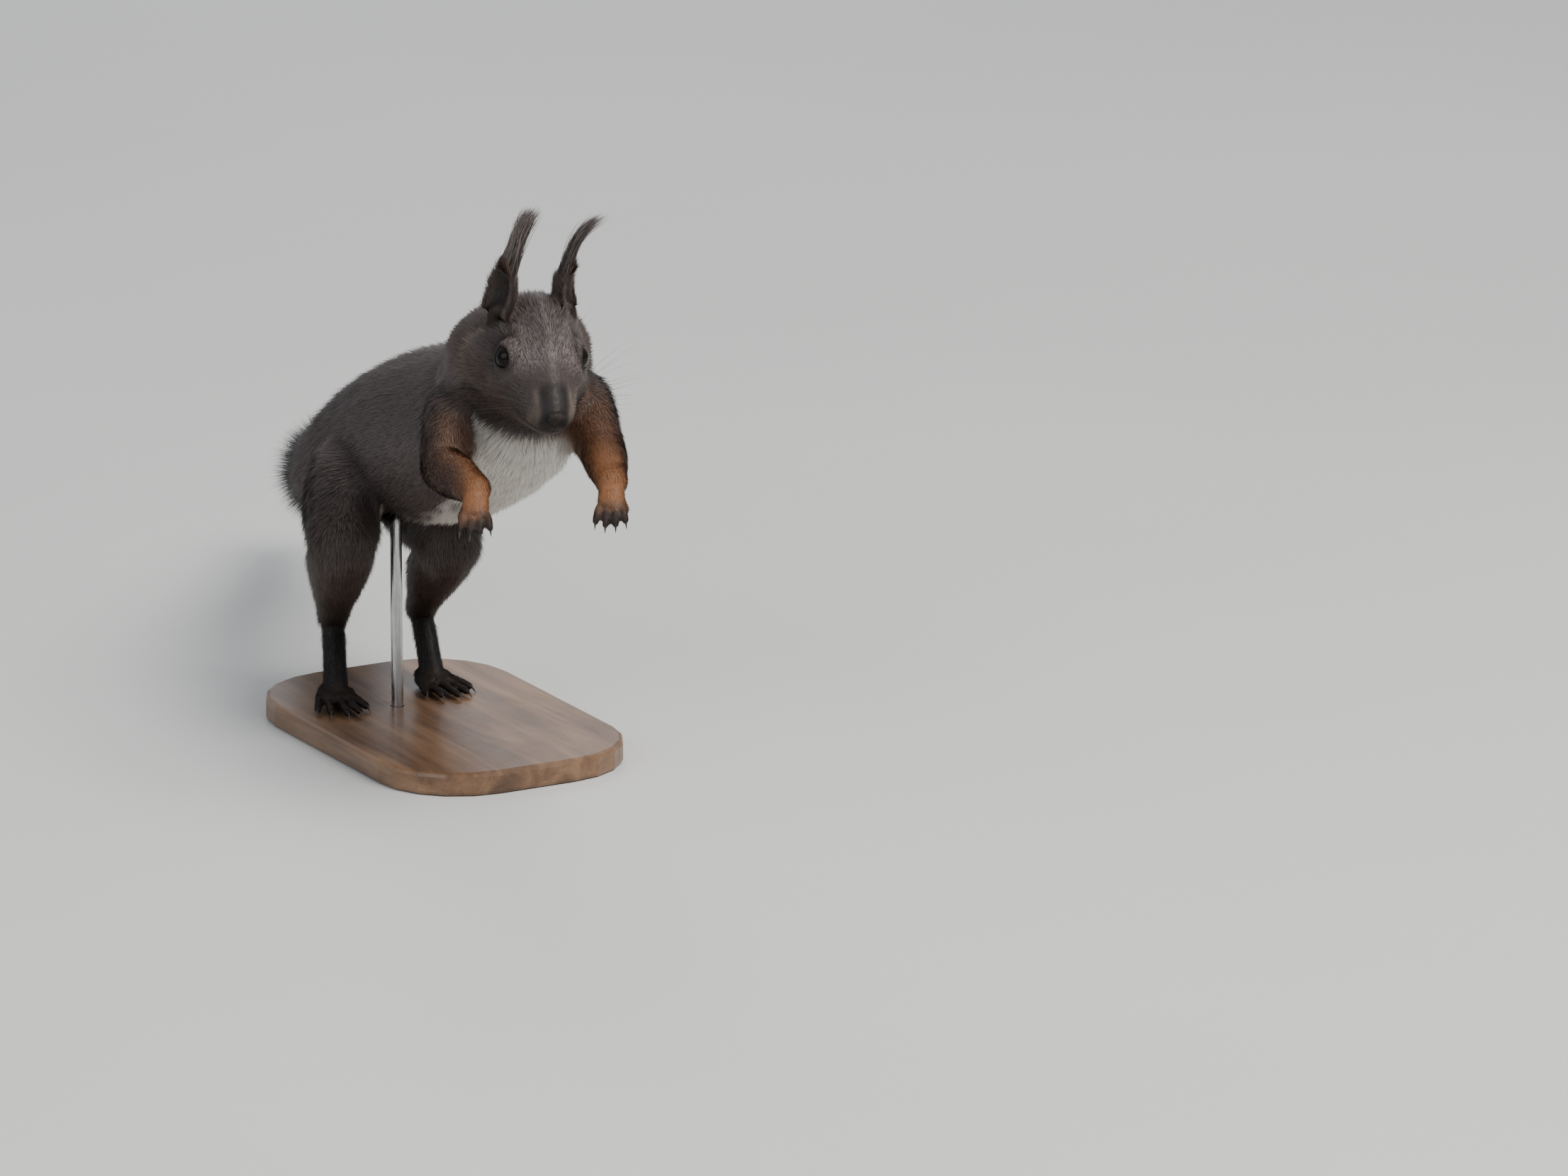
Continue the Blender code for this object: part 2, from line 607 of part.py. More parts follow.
def make_base():
    """A plate with round corners and a softened edge."""
    outline = bpy.data.curves.new("stand_base", "CURVE")
    outline.dimensions = "2D"
    outline.fill_mode = "BOTH"
    line = outline.splines.new("POLY")
    half_x, half_y = 0.5 * BASE_WIDTH - BASE_CORNER, 0.5 * BASE_LENGTH - BASE_CORNER
    points = []
    for quarter, (sx, sy) in enumerate(((1, 1), (-1, 1), (-1, -1), (1, -1))):
        for k in range(6):
            angle = math.radians(90 * quarter + 18 * k)
            x = sx * half_x + BASE_CORNER * math.cos(angle)
            y = sy * half_y + BASE_CORNER * math.sin(angle)
            points.append((x * MM, y * MM, 0, 1))
    line.points.add(len(points) - 1)
    for point, place in zip(line.points, points):
        point.co = place
    line.use_cyclic_u = True
    outline.extrude = 0.5 * BASE_HEIGHT * MM
    plate = new_object("stand_outline", outline)
    graph = bpy.context.evaluated_depsgraph_get()
    mesh = bpy.data.meshes.new_from_object(plate.evaluated_get(graph))
    bpy.data.objects.remove(plate, do_unlink=True)
    form = bmesh.new()
    form.from_mesh(mesh)
    bmesh.ops.remove_doubles(form, verts=form.verts, dist=0.00001)
    bmesh.ops.translate(form, verts=form.verts, vec=Vector((0, 0, 0.5 * BASE_HEIGHT * MM)))
    bmesh.ops.dissolve_limit(form, angle_limit=0.02, verts=form.verts, edges=form.edges)
    bmesh.ops.recalc_face_normals(form, faces=form.faces)
    form.to_mesh(mesh)
    form.free()
    base = new_object("stand_base", mesh, "wood")
    edge = base.modifiers.new("edge", "BEVEL")
    edge.width = BASE_EDGE * MM
    edge.segments = 2
    edge.limit_method = "ANGLE"
    edge.angle_limit = math.radians(60)
    return baked(base)


def make_rod(top):
    form = bmesh.new()
    bottom = BASE_HEIGHT - ROD_DEPTH_IN_BASE + GAP
    bmesh.ops.create_cone(
        form, cap_ends=True, segments=20, radius1=ROD_RADIUS * MM, radius2=ROD_RADIUS * MM, depth=(top - bottom) * MM
    )
    bmesh.ops.translate(form, verts=form.verts, vec=Vector((*ROD_PLACE, 0.5 * (top + bottom))) * MM)
    mesh = bpy.data.meshes.new("stand_rod")
    form.to_mesh(mesh)
    form.free()
    return new_object("stand_rod", mesh, "steel")


def underside_height(obj, place):
    """How high the piece's underside is over a place on the stand, in mm."""
    origin = Vector((place[0] * MM, place[1] * MM, 0))
    hit, where, _, _ = obj.ray_cast(origin, Vector((0, 0, 1)))
    return where.z / MM if hit else 60.0


def main():
    clear_scene()
    loin, chest = make_trunk()
    head = make_head()
    trim(chest, head)
    neck = trim(loft("neck", NECK, sides=18, steps=1.5), chest, head)
    limbs = make_limbs(loin, chest, neck, head)
    tail = make_tail(loin)
    nose = make_nose()
    trim(head, nose)
    eyes, ears, tufts = [], [], []
    for side, sign in (("l", 1), ("r", -1)):
        left, forward, up = EYE_PLACE
        eye = ball(f"eye_{side}", on_head(left * sign, forward, up), EYE_RADIUS, "eye")
        trim(head, eye)
        eyes.append(eye)
        ears.append(trim(make_ear(side, sign), head))
        tufts.append(trim(make_tuft(side, sign), ears[-1]))
    animal = [loin, chest, neck, head, nose, *limbs, *tail, *eyes, *ears, *tufts]
    lift = Matrix.Translation(Vector((0, HIPS_BACK, FLOOR_OF_FEET)) * MM)
    for piece in animal:
        piece.data.transform(lift)
    base = make_base()
    bpy.context.view_layer.update()
    top = underside_height(loin, ROD_PLACE) + ROD_DEPTH_IN_BODY
    rod = make_rod(top)
    drill(loin, ROD_PLACE, ROD_RADIUS + GAP, BASE_HEIGHT, top + GAP)
    drill(base, ROD_PLACE, ROD_RADIUS + GAP, BASE_HEIGHT - ROD_DEPTH_IN_BASE, 2 * BASE_HEIGHT)
    squirrel = bpy.data.collections.new("squirrel")
    bpy.context.scene.collection.children.link(squirrel)
    for piece in [*animal, base, rod]:
        bpy.context.scene.collection.objects.unlink(piece)
        squirrel.objects.link(piece)


main()
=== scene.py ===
# A red squirrel of the dark kind, held on a display stand at the start of a leap.
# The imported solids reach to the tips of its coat. Here they become one skin, with the coat grown on it.

import math

import bmesh
import bpy
import numpy as np
from mathutils import Matrix, Vector


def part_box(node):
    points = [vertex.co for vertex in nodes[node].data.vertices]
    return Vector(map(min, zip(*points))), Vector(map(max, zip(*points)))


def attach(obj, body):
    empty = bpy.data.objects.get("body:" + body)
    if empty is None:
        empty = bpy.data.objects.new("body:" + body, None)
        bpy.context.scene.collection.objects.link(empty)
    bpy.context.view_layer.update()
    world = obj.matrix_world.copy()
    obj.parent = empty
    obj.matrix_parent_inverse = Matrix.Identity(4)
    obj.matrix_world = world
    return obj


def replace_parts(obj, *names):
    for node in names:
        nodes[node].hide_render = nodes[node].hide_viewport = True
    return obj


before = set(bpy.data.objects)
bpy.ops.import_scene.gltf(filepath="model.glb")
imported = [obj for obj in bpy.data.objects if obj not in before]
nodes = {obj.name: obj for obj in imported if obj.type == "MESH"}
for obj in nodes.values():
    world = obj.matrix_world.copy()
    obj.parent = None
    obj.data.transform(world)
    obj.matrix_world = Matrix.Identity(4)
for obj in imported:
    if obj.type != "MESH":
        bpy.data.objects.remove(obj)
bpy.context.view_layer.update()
mm = 0.001
rng = np.random.default_rng(23)


# ---- the animal's own frame: its hips stand over this point of the stand, its soles on top of it

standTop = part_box("stand_base")[1][2]
hipsBack = 48.0
soleGap = 0.3


def at(x, y, z):
    return np.array([x, y + hipsBack, z + soleGap]) * mm + np.array([0.0, 0.0, standTop])


headTurn = {
    "yaw": 16.0, "pitch": 28.5, "roll": 4.0,  # turned to its right, nose down, left side down, in degrees
    "centre": at(-7.7, -134.1, 142.8),  # midway between the eyes
}


def headAxes():
    yaw, pitch, roll = (math.radians(headTurn[key]) for key in ("yaw", "pitch", "roll"))
    forward = np.array([-math.sin(yaw) * math.cos(pitch), -math.cos(yaw) * math.cos(pitch), -math.sin(pitch)])
    level = np.cross([0.0, 0.0, 1.0], forward)
    level /= np.linalg.norm(level)
    left = level * math.cos(roll) - np.cross(forward, level) * math.sin(roll)
    return left, forward, np.cross(forward, left)


headLeft, headForward, headUp = headAxes()


def onHead(left, forward, up):
    return headTurn["centre"] + (headLeft * left + headForward * forward + headUp * up) * mm


def inHead(points):
    offset = (points - headTurn["centre"]) / mm
    return offset @ headLeft, offset @ headForward, offset @ headUp


# ---- joints of the limbs, and the line of the tail


def limbFrom(sign, toeYaw, **joints):
    return {"sign": sign, "toeYaw": toeYaw, **{name: at(*place) for name, place in joints.items()}}


limbs = {
    "l": limbFrom(
        1.0, 2.0, shoulder=(17.4, -112.0, 119.6), elbow=(10.2, -142.0, 112.5),
        wrist=(-2.4, -172.4, 109.8), fingerTips=(-10.4, -186.0, 99.0), hip=(13.0, 1.5, 76.0),
        knee=(7.8, -37.6, 57.1), ankle=(16.3, -0.6, 22.7), toeBase=(11.5, -18.0, 4.0)),
    "r": limbFrom(
        -1.0, -14.0, shoulder=(-18.8, -96.0, 118.0), elbow=(-37.3, -121.4, 107.8),
        wrist=(-42.6, -154.4, 108.3), fingerTips=(-50.4, -168.6, 97.2), hip=(-13.0, -2.5, 76.0),
        knee=(-32.7, -39.4, 62.5), ankle=(-18.8, -4.3, 25.3), toeBase=(-26.5, -21.0, 4.0)),
}

tailLine = [at(*place) for place in (
    (-6.5, 18.0, 69.5), (-0.5, 30.0, 65.5), (8.5, 47.0, 60.5), (20.0, 70.0, 53.5), (31.5, 93.0, 46.5),
    (43.0, 116.0, 40.5), (53.5, 137.0, 36.5), (62.5, 155.0, 35.0))]
tailCore = [7.5, 6.5, 5.6, 5.0, 4.6, 4.0, 3.2, 2.2]  # radius of the tail under its hair, mm

earBase = {"l": onHead(9.2, -12.0, 9.0), "r": onHead(-13.4, -12.0, 8.2)}
tuftPlaces = {  # from each ear's tip up the long hair over it
    "l": [(8.6, -16.0, 26.6), (8.4, -16.4, 30.5), (8.8, -16.8, 35.5), (10.0, -17.2, 40.0), (12.0, -17.4, 43.4),
          (15.2, -17.6, 46.4)],
    "r": [(-13.8, -16.0, 27.4), (-12.6, -16.4, 32.0), (-11.6, -16.8, 37.6), (-10.4, -17.2, 43.0),
          (-9.4, -17.4, 46.6), (-8.4, -17.6, 49.4)],
}
tuftLine = {side: [onHead(*place) for place in places] for side, places in tuftPlaces.items()}
earTip = {side: line[0] for side, line in tuftLine.items()}


# ---- bones: along each one the coat lies from its start to its end, and has a depth, length, width and lift
# Every pair is the value at the start and at the end: radius, depth, hair and wide in mm, lift in degrees.

bones = {}


def bone(name, start, end, group, radius, depth, hair, wide, lift):
    bones[name] = {
        "start": start, "end": end, "group": group, "radius": radius, "depth": depth, "hair": hair,
        "wide": wide, "lift": lift,
    }


noseTip, faceEnd, skullStart, skullEnd = (
    onHead(0, *place) for place in ((27, -2), (9, -3), (-8, -3), (-22, -4)))
neckStart, neckEnd = onHead(0, -16, -6), at(0.5, -86, 116)
withers, hips, rumpEnd = at(4.5, -54, 95), at(0.5, 5, 76.5), at(-6.5, 20, 69)
bone("muzzle", noseTip, faceEnd, "head", (3.5, 11), (0.3, 0.9), (0.9, 1.9), (0.13, 0.17), (20, 20))
bone("face", faceEnd, skullStart, "head", (11, 17), (0.9, 1.5), (1.9, 3.4), (0.17, 0.20), (20, 20))
bone("skull", skullStart, skullEnd, "head", (17, 17), (1.5, 2.2), (3.4, 5.2), (0.20, 0.24), (20, 22))
bone("neck", neckStart, neckEnd, "neck", (18, 24), (2.2, 2.5), (5.2, 7.0), (0.24, 0.27), (22, 20))
bone("chest", at(-3.5, -114, 120), withers, "trunk", (20, 29), (2.4, 2.5), (6.6, 7.4), (0.26, 0.28), (20, 19))
bone("loin", withers, hips, "trunk", (29, 24), (2.5, 2.5), (7.4, 7.6), (0.28, 0.28), (19, 19))
bone("rump", hips, rumpEnd, "trunk", (24, 12), (2.5, 2.5), (7.6, 8.0), (0.28, 0.28), (19, 24))
for k, (start, end) in enumerate(zip(tailLine, tailLine[1:])):
    shares = (k / 7.0, (k + 1) / 7.0)
    bone(f"tail{k}", start, end, "tail", (tailCore[k] + 2, tailCore[k + 1] + 2), (0.0, 0.0),
         tuple(17 + 6 * math.sin(3.1 * share) for share in shares), (0.15, 0.15),
         tuple(38 - 9 * share for share in shares))
for side, limb in limbs.items():
    fore, hind = "fore_" + side, "hind_" + side
    shoulder, elbow, wrist, fingerTips = (limb[name] for name in ("shoulder", "elbow", "wrist", "fingerTips"))
    hip, knee, ankle, toeBase = (limb[name] for name in ("hip", "knee", "ankle", "toeBase"))
    palmEnd = wrist + (fingerTips - wrist) * 0.6
    toeEnd = toeBase + np.array([0.0, -17.0, 0.0]) * mm
    bone("upperArm_" + side, shoulder, elbow, fore, (13, 9), (2.2, 1.5), (5.6, 3.8), (0.25, 0.21), (19, 15))
    bone("forearm_" + side, elbow, wrist, fore, (8.5, 5.2), (1.2, 0.6), (3.5, 2.3), (0.21, 0.17), (13, 13))
    bone("palm_" + side, wrist, palmEnd, "paws", (5.0, 4.2), (0.4, 0.2), (2.3, 1.4), (0.17, 0.14), (14, 13))
    bone("fingers_" + side, palmEnd, fingerTips, "paws", (5.0, 5.0), (0.1, 0.1), (1.1, 0.7), (0.13, 0.11),
         (11, 10))
    bone("thigh_" + side, hip, knee, hind, (18, 12), (2.4, 2.0), (7.0, 5.4), (0.27, 0.25), (19, 20))
    bone("shank_" + side, knee, ankle, hind, (12, 5.0), (2.0, 0.9), (5.4, 3.8), (0.25, 0.21), (20, 20))
    bone("foot_" + side, ankle, toeBase, "paws", (4.4, 4.4), (0.5, 0.3), (3.8, 2.0), (0.20, 0.16), (20, 15))
    bone("toes_" + side, toeBase, toeEnd, "paws", (5.0, 6.0), (0.1, 0.1), (1.5, 1.0), (0.15, 0.13), (14, 12))
    bone("ear_" + side, earBase[side], earTip[side], "ear_" + side, (6.0, 3.6), (0.25, 0.2), (2.0, 3.2),
         (0.16, 0.18), (14, 18))
boneNames = list(bones)


def influence(points):
    count = len(points)
    weight = np.zeros((count, len(boneNames)))
    along = np.zeros((count, len(boneNames)))
    for k, name in enumerate(boneNames):
        start, end = bones[name]["start"], bones[name]["end"]
        way = end - start
        share = np.clip((points - start) @ way / (way @ way), 0.0, 1.0)
        distance = np.linalg.norm(points - start - share[:, None] * way, axis=1) / mm
        near, far = bones[name]["radius"]
        nearness = distance / (near + (far - near) * share)
        weight[:, k] = 1.0 / (nearness**8 + 0.002)
        along[:, k] = share
    weight /= weight.sum(axis=1, keepdims=True)
    return weight, along


def blended(key, weight, along):
    pairs = np.array([bones[name][key] for name in boneNames])
    return (weight * (pairs[:, 0] + (pairs[:, 1] - pairs[:, 0]) * along)).sum(axis=1)


def inGroup(prefix, weight):
    member = np.array([bones[name]["group"].startswith(prefix) for name in boneNames])
    return weight[:, member].sum(axis=1)


def smooth(low, high, value):
    share = np.clip((value - low) / (high - low), 0.0, 1.0)
    return share * share * (3.0 - 2.0 * share)


def bell(value, width):
    return np.exp(-((value / width) ** 2))


def unit(vectors):
    return vectors / np.maximum(np.linalg.norm(vectors, axis=-1, keepdims=True), 1e-12)


def valueNoise(points, scale, seed):
    place = points / (scale * mm) + 1000.0
    cell = np.floor(place).astype(np.int64)
    part = place - cell
    part = part * part * (3.0 - 2.0 * part)
    total = np.zeros(len(points))
    for corner in range(8):
        step = np.array([corner & 1, corner >> 1 & 1, corner >> 2 & 1])
        index = cell + step
        mixed = (index[:, 0] * 73856093) ^ (index[:, 1] * 19349663)
        mixed = mixed ^ (index[:, 2] * 83492791) ^ (seed * 2654435761)
        mixed = (mixed ^ (mixed >> 13)) * 1274126177 & 0xFFFFFFFF
        mixed = (mixed ^ (mixed >> 15)) * 2246822519 & 0xFFFFFFFF
        share = np.prod(np.where(step == 1, part, 1.0 - part), axis=1)
        total += share * (mixed / 2147483648.0 - 1.0)
    return total


def noiseVectors(points, scale, seed):
    return np.stack([valueNoise(points, scale, seed + k) for k in range(3)], axis=1)


down = np.array([0.0, 0.0, -1.0])
backUp = unit(np.array([0.0, 0.36, 0.93]))  # straight out of the sloping back


def earFront(sign):
    # the way the hollow of an ear faces
    return unit(headForward * 0.5 + headLeft * 0.87 * sign)


# ---- meshes


def newObject(name, mesh):
    made = bpy.data.objects.new(name, mesh)
    bpy.context.scene.collection.objects.link(made)
    return made


def meshFrom(name, points, corners, sizes):
    mesh = bpy.data.meshes.new(name)
    mesh.vertices.add(len(points))
    mesh.vertices.foreach_set("co", np.ascontiguousarray(points, dtype=np.float32).ravel())
    mesh.loops.add(len(corners))
    mesh.loops.foreach_set("vertex_index", np.ascontiguousarray(corners, dtype=np.int32))
    mesh.polygons.add(len(sizes))
    starts = np.concatenate([[0], np.cumsum(sizes)[:-1]])
    mesh.polygons.foreach_set("loop_start", np.ascontiguousarray(starts, dtype=np.int32))
    mesh.update(calc_edges=True)
    mesh.polygons.foreach_set("use_smooth", np.ones(len(sizes), dtype=bool))
    return mesh


def addTube(form, centres, widths, heights, up, sides=12):
    up = np.array(up, dtype=float)
    centres = [np.array(centre, dtype=float) for centre in centres]
    rings = []
    for k, centre in enumerate(centres):
        before, after = centres[max(k - 1, 0)], centres[min(k + 1, len(centres) - 1)]
        forward = unit(after - before)
        high = unit(up - forward * (up @ forward))
        side = np.cross(high, forward)
        ring = []
        for j in range(sides):
            angle = 2.0 * math.pi * j / sides
            out = side * widths[k] * math.cos(angle) + high * heights[k] * math.sin(angle)
            ring.append(form.verts.new(centre + out * mm))
        rings.append(ring)
    for low, high in zip(rings, rings[1:]):
        for j in range(sides):
            form.faces.new((low[j], low[j - 1], high[j - 1], high[j]))
    form.faces.new(rings[0])
    form.faces.new(rings[-1][::-1])


tubeLook = {"capSteps": 4, "stepsBetween": 3}


def roundedTube(form, points, radii, up, sides=12):
    # a tube through the points, with a round end over the first and the last
    steps, between = tubeLook["capSteps"], tubeLook["stepsBetween"]
    turns = [0.5 * math.pi * k / (steps + 0.4) for k in range(1, steps + 1)]
    first = unit(points[0] - points[1])
    last = unit(points[-1] - points[-2])
    line = [points[0] + first * radii[0] * math.sin(turn) * mm for turn in reversed(turns)]
    sizes = [radii[0] * math.cos(turn) for turn in reversed(turns)]
    for k in range(len(points) - 1):
        for j in range(between):
            share = j / between
            line.append(points[k] + (points[k + 1] - points[k]) * share)
            sizes.append(radii[k] + (radii[k + 1] - radii[k]) * share)
    line += [points[-1]] + [points[-1] + last * radii[-1] * math.sin(turn) * mm for turn in turns]
    sizes += [radii[-1]] + [radii[-1] * math.cos(turn) for turn in turns]
    addTube(form, line, sizes, sizes, up, sides)


def formToObject(form, name):
    bmesh.ops.recalc_face_normals(form, faces=form.faces)
    mesh = bpy.data.meshes.new(name)
    form.to_mesh(mesh)
    form.free()
    mesh.shade_smooth()
    return newObject(name, mesh)


def settle(made):
    bpy.context.view_layer.update()
    graph = bpy.context.evaluated_depsgraph_get()
    mesh = bpy.data.meshes.new_from_object(made.evaluated_get(graph))
    made.modifiers.clear()
    made.data = mesh
    return made


def vectorsOf(mesh, key):
    values = np.empty(len(mesh.vertices) * 3, dtype=np.float32)
    mesh.vertices.foreach_get(key, values)
    return values.reshape(-1, 3).astype(float)


def coordinates(mesh):
    return vectorsOf(mesh, "co")


def normalsOf(mesh):
    return vectorsOf(mesh, "normal")


def setValues(mesh, name, values):
    layer = mesh.attributes.new(name, "FLOAT", "POINT")
    layer.data.foreach_set("value", np.ascontiguousarray(values, dtype=np.float32))


def moveTo(mesh, points):
    mesh.vertices.foreach_set("co", np.ascontiguousarray(points, dtype=np.float32).ravel())
    mesh.update()


def setGroup(made, name, weight):
    # a vertex group in steps of a twentieth
    group = made.vertex_groups.new(name=name)
    steps = np.round(weight * 20).astype(int)
    for step in range(1, 21):
        chosen = np.nonzero(steps == step)[0]
        if len(chosen):
            group.add(chosen.tolist(), step / 20.0, "REPLACE")


def relax(made, rounds, weight):
    soften = made.modifiers.new("soften", "SMOOTH")
    soften.factor = 0.5
    soften.iterations = rounds
    setGroup(made, "soften", weight)
    soften.vertex_group = "soften"
    settle(made)
    made.vertex_groups.clear()


# ---- digits, from the same measures as the solids


handLook = {
    "palm": 11.5, "gap": 2.2, "radius": 1.3, "claw": 2.1, "thumbRadius": 1.1, "thumbClaw": 0.9,
    "fingers": ((-1.5, 6.0), (-0.52, 7.6), (0.5, 7.8), (1.48, 6.4)),  # place across the palm, and length
}
footLook = {
    "gap": 4.6, "spread": 17.0, "radius": 1.4, "claw": 3.4, "heights": (3.2, 2.7, 1.9),
    "toes": ((-1.0, 11.5), (-0.52, 15.2), (0.03, 16.4), (0.5, 15.5), (1.03, 11.8)),
}


def handDigits(side):
    limb = limbs[side]
    wrist, tips, sign = limb["wrist"], limb["fingerTips"], limb["sign"]
    along = unit(tips - wrist)
    back = unit(np.array([0.0, 0.0, 1.0]) - along * along[2])
    left = np.cross(along, back)
    palmEnd = wrist + along * handLook["palm"] * mm
    digits = []
    for place, length in handLook["fingers"]:
        root = palmEnd + (left * place * handLook["gap"] - along * 2.0) * mm
        knuckle = root + (along * length * 0.62 + left * place * 0.7 + back * 0.8) * mm
        tip = knuckle + (along * length * 0.42 + left * place * 0.3 - back * 1.2) * mm
        digits.append({"points": [root, knuckle, tip], "radius": handLook["radius"], "claw": handLook["claw"]})
    thumbRoot = wrist + (along * 6.0 - left * sign * 3.4 - back * 1.2) * mm
    thumbTip = thumbRoot + (along * 3.4 - left * sign * 1.6 - back * 1.2) * mm
    digits.append({"points": [thumbRoot, 0.5 * (thumbRoot + thumbTip), thumbTip],
                   "radius": handLook["thumbRadius"], "claw": handLook["thumbClaw"]})
    return digits, along, back, palmEnd


def footDigits(side):
    base, toeYaw = limbs[side]["toeBase"], limbs[side]["toeYaw"]
    turn = math.radians(toeYaw)
    aside = np.array([math.cos(turn), math.sin(turn), 0.0])
    digits = []
    for place, length in footLook["toes"]:
        yaw = math.radians(toeYaw + place * footLook["spread"])
        way = np.array([math.sin(yaw), -math.cos(yaw), 0.0])
        root = base + (aside * place * footLook["gap"] + np.array([0.0, 1.5 * abs(place), 0.0])) * mm
        points = [root, root + way * length * 0.55 * mm, root + way * length * mm]
        for point, height in zip(points, footLook["heights"]):
            point[2] = standTop + (height + soleGap) * mm
        digits.append({"points": points, "radius": footLook["radius"], "claw": footLook["claw"]})
    return digits


# ---- the skin: the solids of flesh, fused, drawn in by the coat's depth, and given a face

fleshNodes = [
    "chest", "loin", "neck", "head", "upper_arm_l", "upper_arm_r", "forearm_l", "forearm_r",
    "thigh_l", "thigh_r", "shank_l", "shank_r", "ear_l", "ear_r",
]
closedNodes = ["eye_l", "eye_r", "nose"]  # filled in, for the lids and the muzzle to close over
skinLook = {  # sizes in mm; the middle ones are rounds of softening
    "cell": 0.60, "closeGaps": 0.28, "fairing": 30, "crease": 90, "nape": 130, "orbit": 34, "keptShare": 0.42,
}


def addHand(form, side, wrist):
    digits, along, back, palmEnd = handDigits(side)
    stations = [wrist + along * reach * mm for reach in (-3, 0, 4, 8)] + [palmEnd]
    addTube(form, stations, [4.3, 4.5, 4.6, 4.6, 4.0], [3.4, 3.4, 3.2, 2.8, 2.3], back, 16)
    for digit in digits:
        roundedTube(form, digit["points"], [digit["radius"] * share for share in (1.05, 0.98, 0.9)], back)


def addFoot(form, side, toeBase, ankle):
    heel = ankle + (ankle - toeBase) * 0.12
    roundedTube(form, [toeBase, 0.5 * (toeBase + ankle), heel], [4.2, 4.1, 4.1], (0, -1, 0))
    stations = [toeBase + np.array([0, reach, rise]) * mm for reach, rise in ((5, 0.4), (-1, 0), (-5, -0.6))]
    addTube(form, stations, [4.6, 6.2, 5.4], [3.0, 3.2, 2.2], (0, 0, 1), 16)
    for digit in footDigits(side):
        roundedTube(form, digit["points"], [digit["radius"] * share for share in (1.1, 1.0, 0.95)], (0, 0, 1))


def fuseFlesh():
    form = bmesh.new()
    for name in fleshNodes + closedNodes:
        before = len(form.verts)
        form.from_mesh(nodes[name].data)
        form.verts.ensure_lookup_table()
        form.normal_update()
        for vert in form.verts[before:]:
            vert.co += vert.normal * skinLook["closeGaps"] * mm
    for side, limb in limbs.items():
        addHand(form, side, limb["wrist"])
        addFoot(form, side, limb["toeBase"], limb["ankle"])
        outward = headLeft * limb["sign"]  # the ear's outer edge runs down onto the cheek
        edge = [earBase[side] + (outward * 1.5 + headUp * 1.0) * mm,
                earBase[side] + (outward * 2.6 - headUp * 3.0) * mm,
                earBase[side] + (outward * 3.0 + headForward * 1.0 - headUp * 7.0) * mm]
        roundedTube(form, edge, [2.0, 1.6, 1.0], headForward)
    roundedTube(form, tailLine, tailCore, (0, 0, 1), 18)
    return formToObject(form, "skin")


earLook = {"taper": 0.34, "from": 0.45, "hollow": 1.5, "hollowWide": 4.2}


def shapeEars(points, weight, along):
    # each ear narrows to its tip, and is hollow in front
    for side, limb in limbs.items():
        index = boneNames.index("ear_" + side)
        share, part = weight[:, index], along[:, index]
        axis = unit(earTip[side] - earBase[side])
        front = earFront(limb["sign"])
        across = np.cross(axis, front)
        offset = (points - earBase[side]) @ across
        narrow = earLook["taper"] * smooth(earLook["from"], 1.05, part) * share
        points = points - (offset * narrow)[:, None] * across
        cup = bell(offset, earLook["hollowWide"] * mm) * smooth(0.05, 0.3, part)
        cup = cup * smooth(0.95, 0.7, part) * share
        points = points - (earLook["hollow"] * cup * mm)[:, None] * front
    return points


def remesh(made):
    voxels = made.modifiers.new("voxels", "REMESH")
    voxels.mode = "VOXEL"
    voxels.voxel_size = skinLook["cell"] * mm
    voxels.use_smooth_shade = True
    return settle(made)


eyeLook = {
    "apart": 10.5, "forward": 0.3, "up": 0.9, "radius": 4.9, "gaze": (0.91, 0.27, 0.31), "opening": 42.0,
    "corner": 5.0, "lid": 0.45, "cover": 0.35,
    "proud": 0.25, "proudFrom": 0.78,  # the clear front stands a little proud of the ball
}


def eyeCentre(sign):
    return onHead(eyeLook["apart"] * sign, eyeLook["forward"], eyeLook["up"])


def gazeOf(sign):
    side, forward, up = eyeLook["gaze"]
    return unit(headLeft * side * sign + headForward * forward + headUp * up)


def roundEye(points, sign):
    # each place's distance from the ball's centre and its angle from the gaze, and where the lids' edge runs
    centre, gaze = eyeCentre(sign), gazeOf(sign)
    across = unit(headForward - gaze * (headForward @ gaze))
    offset = points - centre
    distance = np.linalg.norm(offset, axis=1) / mm
    way = unit(offset)
    angle = np.degrees(np.arccos(np.clip(way @ gaze, -1.0, 1.0)))
    flat = unit(way - (way @ gaze)[:, None] * gaze)
    return distance, angle, eyeLook["opening"] + eyeLook["corner"] * (flat @ across) ** 4, flat @ across


faceForms = [  # aside, forward and up on the head, reach, swelling in mm, and its way: aside, forward, up
    ((5.6, 19.5, -5.4), 4.2, 0.9, (0.9, 0.2, -0.1)),  # whisker pads
    ((3.0, 24.0, -5.2), 2.6, 0.4, (0.6, 0.6, 0.0)),  # upper lip
    ((0.0, 21.5, -11.0), 3.0, 0.5, (0.0, 0.6, -0.6)),  # chin
    ((11.0, 6.8, 2.5), 5.6, 2.5, (0.80, 0.25, 0.45)),  # full before the eye
    ((12.0, 4.0, -4.5), 5.0, 1.4, (0.95, 0.2, -0.1)),  # full under it
    ((10.0, 1.5, 7.5), 5.2, 2.3, (0.6, 0.15, 0.75)),  # brow
    ((14.0, 0.0, -12.0), 8.0, 1.5, (0.7, 0.2, -0.7)),  # cheek and jaw
]
mouthLook = {"lips": -8.0, "slope": 0.14, "slit": 0.42, "slitDeep": 0.9, "cleft": 0.32, "cleftDeep": 0.6}


def mouthLine(forward):
    return mouthLook["lips"] - mouthLook["slope"] * (23.0 - forward)


